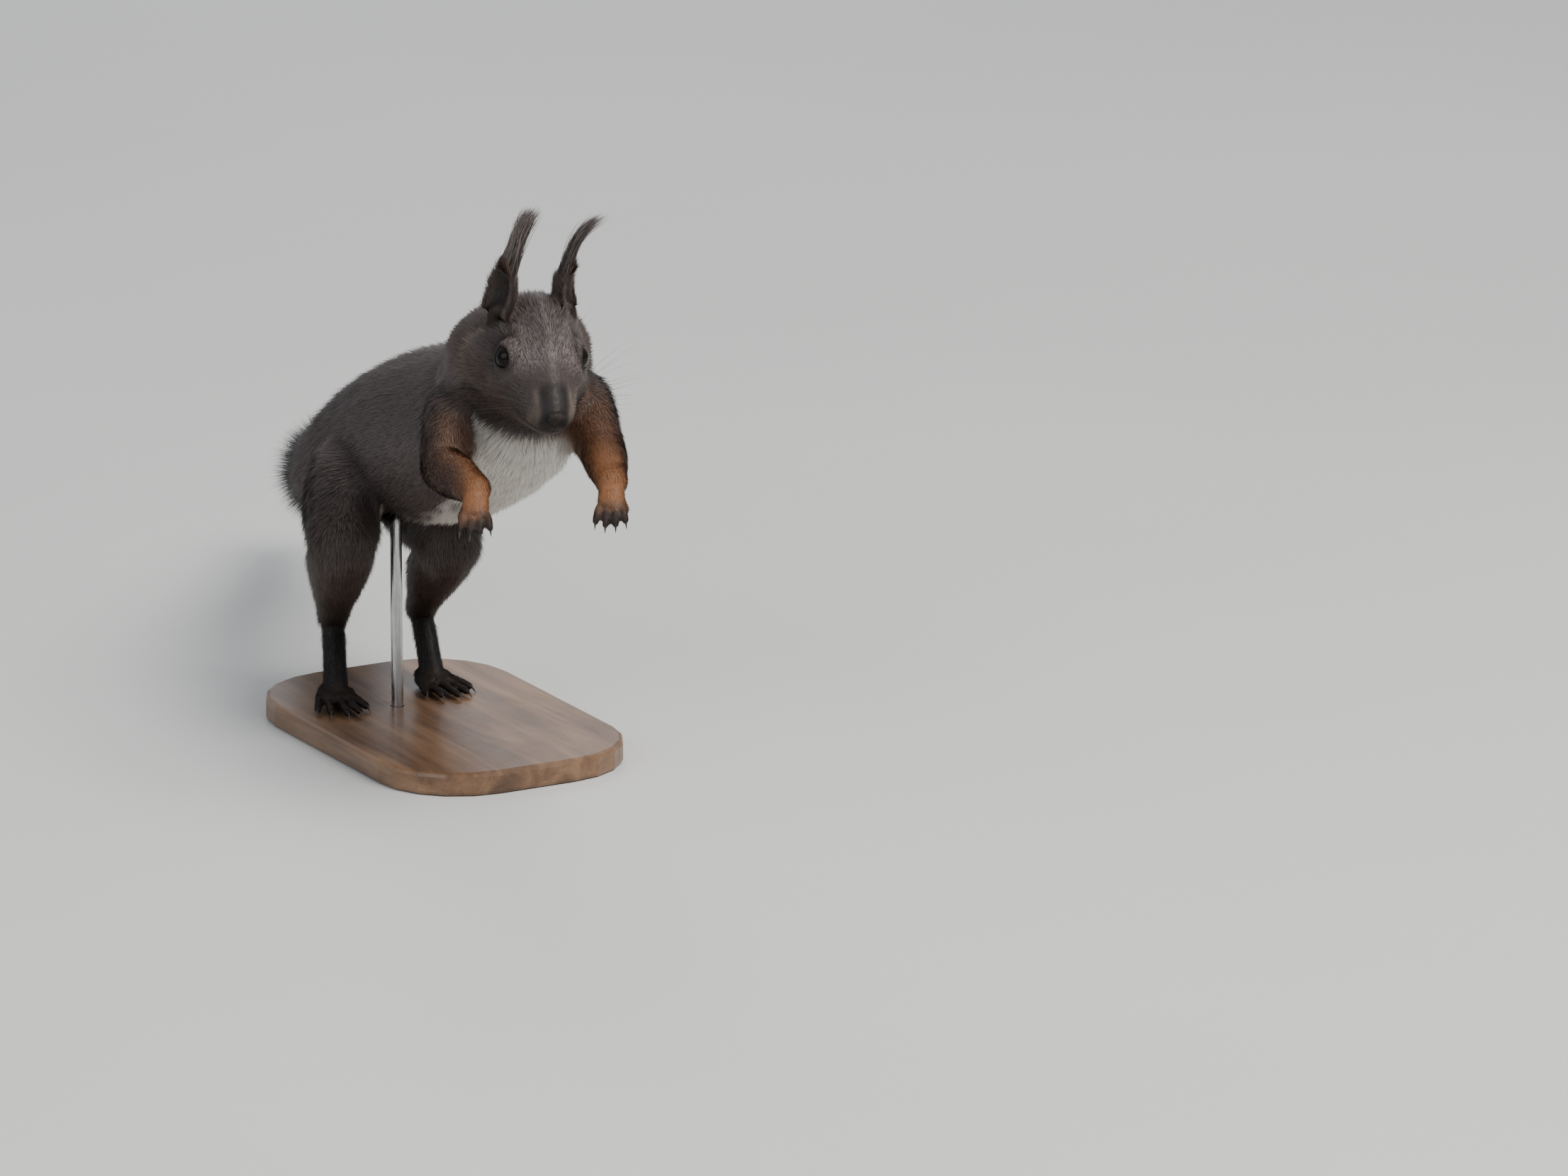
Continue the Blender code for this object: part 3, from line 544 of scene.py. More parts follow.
def shapeFace(points):
    left, forward, up = inHead(points)
    aside = np.abs(left)
    push = np.zeros_like(points)
    for (sideways, ahead, above), reach, amount, (outward, onward, upward) in faceForms:
        distance = np.sqrt((aside - sideways) ** 2 + (forward - ahead) ** 2 + (up - above) ** 2)
        direction = headLeft * outward * np.sign(left)[:, None] + headForward * onward + headUp * upward
        push += (bell(distance, reach) * amount)[:, None] * direction * mm
    lipLine = mouthLine(forward) + 0.9 * bell(aside, 1.6)
    inMouth = smooth(10.5, 13.0, forward) * bell(up - lipLine, mouthLook["slit"])
    inMouth = inMouth * (up < 0) * smooth(8.6, 7.2, aside)
    push -= (inMouth * mouthLook["slitDeep"])[:, None] * unit(points - onHead(0, 12, -6)) * mm
    cleft = bell(aside, mouthLook["cleft"]) * smooth(22.5, 24.0, forward) * (up < -3.4) * (up > -8.6)
    push -= (cleft * mouthLook["cleftDeep"])[:, None] * headForward * mm
    return points + push


def shapeLids(points):
    for sign in (1.0, -1.0):
        distance, angle, opening, _ = roundEye(points, sign)
        ball = eyeLook["radius"]
        inside = smooth(opening + 1.5, opening - 2.5, angle)
        lid = ball + eyeLook["lid"] * (1.0 - 0.3 * smooth(opening + 2, opening + 14, angle))
        wanted = lid * (1.0 - inside) + (ball - 1.0) * inside
        near = smooth(opening + 26.0, opening + 5.0, angle) * (distance < 10.0)
        reach = distance * (1.0 - near) + wanted * near
        least = ball + eyeLook["cover"]
        covered = 0.5 * (reach + least + np.sqrt((reach - least) ** 2 + 0.2))
        reach = reach + (covered - reach) * smooth(opening + 2.0, opening + 14.0, angle)
        placed = eyeCentre(sign) + unit(points - eyeCentre(sign)) * reach[:, None] * mm
        points = np.where(((distance < 10.0) & (angle < 150.0))[:, None], placed, points)
    return points


def aroundFace(points):
    left, forward, up = inHead(points)
    return (forward > -9) & (forward < 32) & (np.abs(left) < 21) & (up > -19) & (up < 17)


def refineFace(mesh):
    # smaller faces, for the lids and the mouth
    form = bmesh.new()
    form.from_mesh(mesh)
    wanted = aroundFace(np.array([vert.co for vert in form.verts]))
    edges = [edge for edge in form.edges if all(wanted[vert.index] for vert in edge.verts)]
    bmesh.ops.subdivide_edges(form, edges=edges, cuts=1, use_grid_fill=True)
    bmesh.ops.triangulate(form, faces=[face for face in form.faces if len(face.verts) > 4])
    form.to_mesh(mesh)
    form.free()


def makeSkin():
    skin = remesh(fuseFlesh())
    points = coordinates(skin.data)
    weight, along = influence(points)
    earBones = [k for k, name in enumerate(boneNames) if name.startswith("ear")]
    earShare = sum(weight[:, k] * smooth(0.12, 0.45, along[:, k]) for k in earBones)
    fine = np.clip(inGroup("paws", weight) + earShare, 0, 1)
    _, forward, _ = inHead(points)
    face = inGroup("head", weight) * smooth(-10.0, 0.0, forward)
    relax(skin, skinLook["fairing"], np.clip(1.0 - 0.93 * fine - 0.6 * face, 0.0, 1.0))
    points = coordinates(skin.data)
    weight, along = influence(points)
    limbShare = inGroup("fore", weight) + inGroup("hind", weight)
    bodyShare = inGroup("trunk", weight) + inGroup("neck", weight)
    relax(skin, skinLook["crease"], np.clip(6.0 * limbShare * bodyShare, 0.0, 1.0))
    relax(skin, skinLook["nape"], np.clip(10.0 * inGroup("trunk", weight) * inGroup("neck", weight), 0.0, 1.0))
    print("skin: fused", len(skin.data.vertices), "points")
    points, normals = coordinates(skin.data), normalsOf(skin.data)
    weight, along = influence(points)
    points -= normals * blended("depth", weight, along)[:, None] * mm
    moveTo(skin.data, points)
    relax(skin, 6, np.clip(1.0 - 0.9 * fine - 0.5 * face, 0.0, 1.0))
    points = coordinates(skin.data)
    weight, along = influence(points)
    keep = np.clip(inGroup("paws", weight) + inGroup("ear", weight) + inGroup("head", weight), 0.0, 1.0)
    setGroup(skin, "thin", 1.0 - keep)
    thinner = skin.modifiers.new("thinner", "DECIMATE")
    thinner.ratio = skinLook["keptShare"]
    thinner.vertex_group = "thin"
    settle(skin)
    skin.vertex_groups.clear()
    refineFace(skin.data)
    relax(skin, 3, aroundFace(coordinates(skin.data)).astype(float))
    points = coordinates(skin.data)
    points = shapeLids(shapeEars(shapeFace(points), *influence(points)))
    moveTo(skin.data, points)
    beside = np.zeros(len(points))
    for sign in (1.0, -1.0):
        distance, angle, opening, _ = roundEye(points, sign)
        beside = np.maximum(beside, smooth(12.0, 9.0, distance) * smooth(opening + 4.0, opening + 12.0, angle))
    relax(skin, skinLook["orbit"], beside)
    moveTo(skin.data, shapeLids(coordinates(skin.data)))
    skin.data.shade_smooth()
    print("skin: shaped", len(skin.data.polygons), "faces")
    return skin


# ---- markings, the same for skin and coat: how far each place is pale, rusty, dark, tan or ticked; part of the dark on the hind legs is painted shade, and part of the rust and tan on the left, lit side is painted light


coatMarks = {
    "wander": ((0.16, 9.0, 3), (0.10, 3.0, 4)),  # how far their edges stray, over how many mm, and the seed
    "jaw": (-25.0, -27.5), "bib": (17.5, 14.5), "bibFrom": (-10.0, -5.0), "throat": 0.8,
    "belly": (0.80, 0.96), "chestWider": 0.40,
    "patch": 0.92, "mouth": 0.85, "rims": 0.42, "eyeRing": 0.14, "strip": 0.36, "ruff": 0.36,
    "cheek": {"rust": 0.12, "dark": 0.38}, "crown": 0.35, "fingers": 0.35, "feet": 0.9, "toes": 0.92,
}
ruffEdge = {  # where the ruff begins on the side of the head: up, and forward
    "up": [-27.0, -23.6, -20.0, -12.0, -4.0, 4.0], "forward": [-4.0, -6.9, -9.3, -9.4, -11.8, -12.0],
}


def limbMarkings(points, normals, weight, along, ragged):
    # pale, rusty and dark shares along the limbs, the ears and the tail, with painted shade in the hind legs'
    # dark and painted light in the left upper arm's rust
    pale, rust, dark = np.zeros((3, len(points)))
    for k, name in enumerate(boneNames):
        share, part = weight[:, k], along[:, k]
        kind, _, which = name.rstrip("0123456789").partition("_")
        side = 1.0 if which == "l" else -1.0
        inner = smooth(-0.35, 0.55, normals @ np.array([-0.75 * side, -0.65, 0.35]) + ragged)
        if kind == "thigh":
            pale += share * 0.4 * smooth(0.65, 1.0, -side * normals[:, 0] * 0.8 - normals[:, 2] * 0.5 + ragged)
            # painted shade over the leg's own darker fur: the thigh darkens towards the knee, as in the shade
            # under the body
            dark += share * 0.42 * smooth(0.3, 1.0, part + ragged)
        elif kind == "shank":
            # painted shade over the leg's own darker fur: the shank darkens towards the foot, as in the shade
            # under the body
            dark += share * (0.46 + 0.46 * smooth(0.3, 1.0, part + ragged))
            rust += share * 0.10
        elif kind == "foot":
            dark += share * coatMarks["feet"]
        elif kind == "toes":
            dark += share * coatMarks["toes"]
            rust += share * 0.5
        elif kind == "upperArm":
            # painted light over the arm's real rust: the left upper arm, on the lit side, gets 0.16 more rust
            # on its front than the right
            rust += share * (0.10 + (0.18 + 0.16 * (side > 0)) * inner) * smooth(-0.1, 0.8, part + ragged)
            dark += share * (0.08 + 0.22 * (1.0 - inner))
        elif kind == "forearm":
            rust += share * np.clip(0.24 + (0.24 + 0.55 * part) * inner + 0.3 * smooth(0.6, 1.0, part), 0, 1)
            dark += share * 0.22 * (1.0 - inner) * smooth(1.0, 0.4, part)
        elif kind == "palm":
            rust += share
            dark += share * 0.70 * smooth(1.05, 1.65, part + 2.6 * ragged)
        elif kind == "fingers":
            first = coatMarks["fingers"]
            dark += share * (first + (coatMarks["toes"] - first) * smooth(0.0, 0.6, part + 1.5 * ragged))
            rust += share * 0.5
        elif kind == "ear":
            axis = unit(bones[name]["end"] - bones[name]["start"])
            front = earFront(side)
            within = smooth(0.25, 0.75, normals @ front)
            edge = smooth(2.6, 4.2, np.abs((points - bones[name]["start"]) @ np.cross(axis, front)) / mm)
            dark += share * (0.50 + 0.35 * within * (1.0 - edge)) * (1.0 - 0.85 * smooth(0.60, 0.92, part))
            rust += share * 0.14
        elif kind == "tail":
            dark += share
        elif kind == "rump":
            dark += share * 0.25 * part
    return pale, rust, dark


def markings(points, normals, weight, along):
    left, forward, up = inHead(points)
    aside = np.abs(left)
    ragged = sum(amount * valueNoise(points, scale, seed) for amount, scale, seed in coatMarks["wander"])
    head, trunk, neck = (inGroup(group, weight) for group in ("head", "trunk", "neck"))
    limbPale, rust, dark = limbMarkings(points, normals, weight, along, ragged)

    # off-white under the jaw, between the forelegs and on the belly, wider over the chest
    below = -(normals @ backUp) + ragged
    wider = coatMarks["chestWider"] * smooth(at(0, -80, 0)[1], at(0, -120, 0)[1], points[:, 1])
    underJaw = smooth(*coatMarks["jaw"], up + 2.0 * ragged)
    bib = underJaw * smooth(*coatMarks["bib"], aside + 3.0 * ragged) * smooth(*coatMarks["bibFrom"], forward)
    low, high = coatMarks["belly"]
    pale = (trunk + neck) * np.maximum(bib, underJaw * smooth(low - wider, high - wider, below))
    pale = pale * smooth(at(0, 14, 0)[1], at(0, 2, 0)[1], points[:, 1]) + limbPale
    pale = np.clip(pale + coatMarks["throat"] * head * underJaw * smooth(14.0, 8.0, forward), 0.0, 1.0)

    # the dark patch on the nose and the lips, with a pale rim on each side of the patch
    spot = forward + 2.0 * ragged
    overLips = smooth(-9.5, -7.0, up)
    patch = smooth(4.8, 3.2, aside + 2.0 * ragged) * smooth(16.0, 20.0, spot) * overLips
    mouth = bell(up - mouthLine(forward), 0.7) * smooth(11.0, 14.0, forward) * (up < 0)
    dark = np.clip(dark + head * np.maximum(coatMarks["patch"] * patch, coatMarks["mouth"] * mouth), 0.0, 1.0)
    rimLine = 5.4 - 1.3 * smooth(23.0, 26.5, forward) + 1.2 * smooth(-1.0, -6.0, up)
    rims = bell(aside - rimLine - 1.5 * ragged, 0.75) * smooth(16.5, 19.5, spot) * overLips
    # painted light over the pale rims: the rim on the left, lit side is lighter than the one on the right
    rims = rims * np.where(left > 0, 1.0, 0.8)

    # dark lids in a faint ring
    eyeRing = np.zeros(len(points))
    for sign in (1.0, -1.0):
        distance, angle, opening, toward = roundEye(points, sign)
        lidEdge = smooth(opening + 5.0, opening + 2.0, angle) * (distance < 8.0)
        ring = smooth(opening + 5.0, opening + 10.0, angle) * smooth(opening + 26.0, opening + 14.0, angle)
        ring = ring * smooth(10.0, 7.5, distance) * (0.75 + 0.25 * toward)
        dark = np.clip(dark + head * lidEdge, 0.0, 1.0)
        eyeRing = np.maximum(eyeRing, ring)

    # a paler strip from the muzzle to the eye, stronger on the left, lit side as painted light, and the pale
    # edge of the ruff behind the cheek
    strip = bell(up + 1.8 + 0.5 * smooth(14.0, 24.0, forward), 1.4) * smooth(2.0, 7.0, forward)
    # painted light: on the left, lit side the strip is nearly three times as strong as on the right
    strip = strip * smooth(25.0, 21.0, forward) * smooth(4.5, 6.5, aside) * np.where(left > 0, 1.0, 0.35)
    tan = coatMarks["eyeRing"] * eyeRing + coatMarks["rims"] * rims + coatMarks["strip"] * strip
    tan = head * np.clip(tan, 0.0, 1.0) * (1.0 - dark)
    ruffLine = np.interp(up, ruffEdge["up"], ruffEdge["forward"])
    ruff = (head + neck) * bell(forward - ruffLine - 3.0 * ragged, 1.3) * smooth(7.0, 3.0, up)
    ruff = ruff * smooth(-28.0, -25.0, up)
    tan = np.clip(tan + coatMarks["ruff"] * ruff * smooth(10.0, 14.0, aside), 0.0, 1.0)

    # darker cheeks and crown, and pale tips on the forehead
    cheek = head * smooth(-2.0, -9.0, up) * smooth(14.0, 6.0, forward)
    crown = head * smooth(9.0, 13.0, up + 4.0 * ragged) * smooth(4.0, 0.0, forward)
    rust = np.clip(rust + coatMarks["cheek"]["rust"] * cheek, 0.0, 1.0)
    dark = np.clip(dark + coatMarks["cheek"]["dark"] * cheek + coatMarks["crown"] * crown, 0.0, 1.0)
    grizzle = 0.55 + 0.45 * valueNoise(points, 5.0, 6)
    ticked = np.clip(head * smooth(16.0, 8.0, forward) * smooth(-2.0, 4.0, up) * grizzle, 0.0, 1.0)
    return {"pale": pale, "rust": rust, "dark": dark, "tan": tan, "ticked": ticked}


def setMarkings(mesh, marks, along, chance, deep=1.0):
    deep = np.full(len(along), deep)
    for name, values in {**marks, "tuftAlong": along, "tuftChance": chance, "tuftDeep": deep}.items():
        setValues(mesh, name, values)


# ---- shader node groups and materials


class Nodes:
    def __init__(self, tree):
        self.tree = tree

    def add(self, kind, **settings):
        node = self.tree.nodes.new(kind)
        for key, value in settings.items():
            if key == "inputs":
                for socket, content in value.items():
                    if isinstance(content, bpy.types.NodeSocket):
                        self.feed(content, node.inputs[socket])
                    else:
                        node.inputs[socket].default_value = content
            else:
                setattr(node, key, value)
        return node

    def feed(self, source, target):
        self.tree.links.new(source, target)

    def shade(self, **sockets):
        shader = self.tree.nodes["Principled BSDF"]
        for name, source in sockets.items():
            self.feed(source, shader.inputs[name.replace("_", " ")])

    def math(self, operation, first, second=0.0, clamp=False):
        node = self.add("ShaderNodeMath", operation=operation, use_clamp=clamp, inputs={0: first, 1: second})
        return node.outputs[0]

    def mix(self, share, first, second, blend="MIX"):
        given = {0: share, 6: first, 7: second}
        return self.add("ShaderNodeMix", data_type="RGBA", blend_type=blend, inputs=given).outputs[2]

    def attribute(self, name):
        return self.add("ShaderNodeAttribute", attribute_name=name).outputs["Fac"]

    def place(self):
        return self.add("ShaderNodeTexCoord").outputs["Object"]

    def noise(self, where, scale, detail, **more):
        inputs = {"Vector": where, "Scale": scale, "Detail": detail, **more}
        return self.add("ShaderNodeTexNoise", inputs=inputs).outputs["Fac"]

    def stretched(self, where, scales):
        return self.add("ShaderNodeMapping", inputs={"Vector": where, "Scale": scales}).outputs[0]

    def bump(self, height, strength, distance):
        inputs = {"Height": height, "Strength": strength, "Distance": distance}
        return self.add("ShaderNodeBump", inputs=inputs).outputs[0]

    def ramp(self, share, stops):
        node = self.add("ShaderNodeValToRGB", inputs={0: share})
        elements = node.color_ramp.elements
        while len(elements) < len(stops):
            elements.new(0.5)
        for element, (position, colour) in zip(elements, stops):
            element.position = position
            element.color = (*colour, 1.0)
        return node.outputs[0]


def newGroup(name, inputs, outputs):
    tree = bpy.data.node_groups.new(name, "ShaderNodeTree")
    for label, kind in inputs:
        tree.interface.new_socket(label, in_out="INPUT", socket_type=kind)
    for label, kind in outputs:
        tree.interface.new_socket(label, in_out="OUTPUT", socket_type=kind)
    nodesOf = Nodes(tree)
    return nodesOf, nodesOf.add("NodeGroupInput").outputs, nodesOf.add("NodeGroupOutput")


coatColours = {
    "brown": [(0.0, (0.022, 0.016, 0.015)), (0.35, (0.043, 0.032, 0.029)), (0.72, (0.080, 0.062, 0.057)),
              (1.0, (0.114, 0.090, 0.087))],
    "pale": [(0.0, (0.22, 0.20, 0.17)), (0.4, (0.50, 0.47, 0.41)), (1.0, (0.74, 0.71, 0.65))],
    "rust": [(0.0, (0.090, 0.034, 0.016)), (0.4, (0.250, 0.100, 0.042)), (1.0, (0.480, 0.225, 0.105))],
    "dark": [(0.0, (0.006, 0.005, 0.005)), (0.5, (0.013, 0.011, 0.010)), (1.0, (0.032, 0.027, 0.025))],
    "tan": [(0.0, (0.060, 0.045, 0.032)), (1.0, (0.340, 0.270, 0.200))],
    "tick": (0.42, 0.36, 0.36),  # the pale tip of a ticked hair
}
tickLook = {"above": 0.52, "share": 0.9, "darkest": 0.80, "chance": 0.4}  # hairs of higher chance are ticked


def coatColourGroup():
    names = ("Pale", "Rust", "Dark", "Tan", "Ticked", "Along", "Chance")
    inputs = [(name, "NodeSocketFloat") for name in names]
    tree, given, out = newGroup("coatColour", inputs, [("Color", "NodeSocketColor")])
    along = given["Along"]
    colour = tree.ramp(along, coatColours["brown"])
    tip = tree.math("SUBTRACT", tree.math("MULTIPLY", along, 1.6), 0.6, clamp=True)
    chosen = tree.math("GREATER_THAN", given["Chance"], tickLook["above"])
    tick = tree.math("MULTIPLY", chosen, tree.math("MULTIPLY", given["Ticked"], tip))
    colour = tree.mix(tree.math("MULTIPLY", tick, tickLook["share"]), colour, (*coatColours["tick"], 1.0))
    for key, label in (("rust", "Rust"), ("tan", "Tan"), ("pale", "Pale"), ("dark", "Dark")):
        colour = tree.mix(given[label], colour, tree.ramp(along, coatColours[key]))
    shade = tree.math("ADD", tree.math("MULTIPLY", given["Chance"], tickLook["chance"]), tickLook["darkest"])
    grey = tree.add("ShaderNodeCombineColor", inputs={0: shade, 1: shade, 2: shade}).outputs[0]
    colour = tree.mix(1.0, colour, grey, "MULTIPLY")
    tree.feed(colour, out.inputs["Color"])
    return tree.tree


def patchyGroup():
    inputs = [(name, "NodeSocketFloat") for name in ("Scale", "Low", "High")]
    tree, given, out = newGroup("patchy", inputs, [("Value", "NodeSocketFloat")])
    cloud = tree.noise(tree.place(), given["Scale"], 4.0)
    spread = tree.add("ShaderNodeMapRange", inputs={
        "Value": cloud, "From Min": 0.3, "From Max": 0.7, "To Min": given["Low"], "To Max": given["High"]})
    tree.feed(spread.outputs[0], out.inputs["Value"])
    return tree.tree


coatGroup, cloudGroup = coatColourGroup(), patchyGroup()


def newMaterial(name, **constants):
    made = bpy.data.materials.new(name)
    made.use_nodes = True
    shader = made.node_tree.nodes["Principled BSDF"]
    for socket, value in constants.items():
        shader.inputs[socket.replace("_", " ")].default_value = value
    return made, Nodes(made.node_tree)


def patchy(tree, scale, low, high):
    inputs = {"Scale": scale, "Low": low, "High": high}
    return tree.add("ShaderNodeGroup", node_tree=cloudGroup, inputs=inputs).outputs[0]


def furColour(tree):
    marks = {label: tree.attribute(label.lower()) for label in ("Pale", "Rust", "Dark", "Tan", "Ticked")}
    marks["Along"] = tree.attribute("tuftAlong")
    marks["Chance"] = tree.attribute("tuftChance")
    return tree.add("ShaderNodeGroup", node_tree=coatGroup, inputs=marks).outputs["Color"]


def skinMaterial():
    made, tree = newMaterial("skinFur", Roughness=0.7, Specular_IOR_Level=0.25)
    grain = tree.noise(tree.place(), 1600.0, 3.0)
    tree.shade(Base_Color=furColour(tree), Roughness=patchy(tree, 900.0, 0.55, 0.85),
               Normal=tree.bump(grain, 0.5, 0.0004))
    return made


def furMaterial():
    made, tree = newMaterial("coatFur", Roughness=0.52, Specular_IOR_Level=0.32)
    face = tree.add("ShaderNodeNewGeometry")
    twice = tree.math("MULTIPLY", tree.attribute("tuftDeep"), 2.0)
    turn = tree.math("SUBTRACT", 1.0, tree.math("MULTIPLY", face.outputs["Backfacing"], twice))
    # under a blade the normal stays the coat's, where the coat is deep
    given = {0: face.outputs["Normal"], "Scale": turn}
    outward = tree.add("ShaderNodeVectorMath", operation="SCALE", inputs=given)
    tree.shade(Base_Color=furColour(tree), Roughness=patchy(tree, 500.0, 0.42, 0.62),
               Normal=outward.outputs[0])
    return made


def eyeMaterial():
    made, tree = newMaterial("eyeDark", Roughness=0.06, Specular_IOR_Level=0.16)
    fromPupil = [(0.0, (0.002, 0.002, 0.002)), (0.42, (0.003, 0.002, 0.002)), (0.52, (0.007, 0.004, 0.002)),
                 (0.8, (0.005, 0.003, 0.002)), (1.0, (0.003, 0.002, 0.002))]
    tree.shade(Base_Color=tree.ramp(tree.attribute("fromPupil"), fromPupil))
    return made


def noseMaterial():
    made, tree = newMaterial("noseSkin", Roughness=0.5, Specular_IOR_Level=0.18)
    tones = [(0.0, (0.010, 0.007, 0.006)), (1.0, (0.026, 0.018, 0.016))]
    colour = tree.ramp(patchy(tree, 700.0, 0.0, 1.0), tones)
    cells = tree.add("ShaderNodeTexVoronoi", inputs={"Vector": tree.place(), "Scale": 2600.0})
    tree.shade(Base_Color=colour, Roughness=patchy(tree, 1500.0, 0.45, 0.65),
               Normal=tree.bump(cells.outputs["Distance"], 0.5, 0.0002))
    return made


def clawMaterial():
    made, tree = newMaterial("clawHorn", Roughness=0.35)
    toTip = [(0.0, (0.014, 0.011, 0.009)), (0.7, (0.030, 0.022, 0.017)), (1.0, (0.110, 0.085, 0.065))]
    colour = tree.ramp(tree.attribute("tuftAlong"), toTip)
    tree.shade(Base_Color=colour, Roughness=patchy(tree, 1200.0, 0.25, 0.45))
    return made


def whiskerMaterial():
    made, tree = newMaterial("whiskerHair", Roughness=0.35)
    toTip = [(0.0, (0.006, 0.005, 0.005)), (1.0, (0.030, 0.026, 0.024))]
    tree.shade(Base_Color=tree.ramp(tree.attribute("tuftAlong"), toTip))
    return made


def woodMaterial():
    made, tree = newMaterial("standWood", Roughness=0.4, Coat_Weight=0.25, Coat_Roughness=0.15)
    place = tree.place()
    rings = tree.noise(tree.stretched(place, (70.0, 7.0, 70.0)), 1.6, 8.0, Distortion=0.7)
    fibre = tree.noise(tree.stretched(place, (1400.0, 40.0, 1400.0)), 1.0, 3.0)
    grain = tree.math("ADD", tree.math("MULTIPLY", rings, 0.8), tree.math("MULTIPLY", fibre, 0.2))
    heartToSap = [(0.32, (0.070, 0.034, 0.016)), (0.5, (0.160, 0.082, 0.040)), (0.66, (0.250, 0.140, 0.072))]
    tree.shade(Base_Color=tree.ramp(grain, heartToSap), Roughness=patchy(tree, 60.0, 0.32, 0.48),
               Normal=tree.bump(fibre, 0.25, 0.0002))
    return made


def steelMaterial():
    made, tree = newMaterial("standSteel", Metallic=1.0, Roughness=0.3)
    lines = tree.noise(tree.stretched(tree.place(), (3000.0, 3000.0, 60.0)), 1.0, 2.0)
    colour = tree.ramp(lines, [(0.3, (0.40, 0.40, 0.41)), (0.7, (0.58, 0.58, 0.59))])
    tree.shade(Base_Color=colour, Roughness=patchy(tree, 300.0, 0.22, 0.40))
    return made


def dress(made, material):
    made.data.materials.clear()
    made.data.materials.append(material)
    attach(made, "root")
    return made


# ---- the coat: blades laid on the skin, bent back along it


class Ground:
    # the skin's triangles, to sow roots on
    def __init__(self, mesh):
        mesh.calc_loop_triangles()
        corners = np.empty(len(mesh.loop_triangles) * 3, dtype=np.int32)
        mesh.loop_triangles.foreach_get("vertices", corners)
        self.corners = corners.reshape(-1, 3)
        self.points = coordinates(mesh)
        self.normals = normalsOf(mesh)
        self.weight, self.along = influence(self.points)
        a, b, c = (self.points[self.corners[:, k]] for k in range(3))
        self.areas = 0.5 * np.linalg.norm(np.cross(b - a, c - a), axis=1) / mm**2
        self.middles = (a + b + c) / 3.0
        self.facing = unit(np.cross(b - a, c - a))
        self.hidden = self.behindLids()

    def behindLids(self):
        hidden = np.zeros(len(self.corners), dtype=bool)
        for sign in (1.0, -1.0):
            distance, angle, opening, _ = roundEye(self.middles, sign)
            hidden |= (angle < opening + 4.5) & (distance < 8.0)
        left, forward, up = inHead(self.middles)
        underPad = ((left / 3.1) ** 2 + ((forward - 27.0) / 2.3) ** 2 + ((up + 1.4) / 2.4) ** 2) < 1.0
        return hidden | underPad

    def share(self, values):
        return values[self.corners].mean(axis=1)

    def sow(self, count, density):
        chances = self.areas * density * ~self.hidden
        edges = np.cumsum(chances)
        picks = (np.arange(count) + rng.random(count)) * edges[-1] / count
        chosen = np.clip(np.searchsorted(edges, picks), 0, len(chances) - 1)
        first, second = rng.random(count), rng.random(count)
        flip = first + second > 1.0
        first[flip], second[flip] = 1.0 - first[flip], 1.0 - second[flip]
        shares = np.stack([1.0 - first - second, first, second], axis=1)
        corners = self.corners[chosen]
        roots = (self.points[corners] * shares[:, :, None]).sum(axis=1)
        normals = unit((self.normals[corners] * shares[:, :, None]).sum(axis=1))
        return roots, normals


def lieOfCoat(roots, normals, weight, along):
    ways = np.array([unit(bones[name]["end"] - bones[name]["start"]) for name in boneNames])
    way = unit(weight**0.4 @ ways)
    head = inGroup("head", weight)[:, None]
    fromNose = unit(roots - onHead(0, 30, -4))
    way = way * (1.0 - 0.6 * head) + fromNose * 0.6 * head
    legs = (inGroup("hind", weight) + inGroup("fore", weight))[:, None]
    way = way + down * 0.18 * (1.0 - head) + down * 0.12 * legs
    for sign in (1.0, -1.0):  # the coat parts round the eye
        offset = (roots - eyeCentre(sign)) / mm
        distance = np.linalg.norm(offset, axis=1)
        near = smooth(10.5, 6.0, distance)[:, None]
        outward = unit(offset - (offset @ gazeOf(sign))[:, None] * gazeOf(sign))
        way = unit(way) * (1.0 - 0.75 * near) + outward * 0.75 * near
    return unit(way - (way * normals).sum(axis=1, keepdims=True) * normals)


hairShape = {"root": 0.06, "roll": 12.0, "sway": 0.10, "round": 0.30, "patch": 0.003}


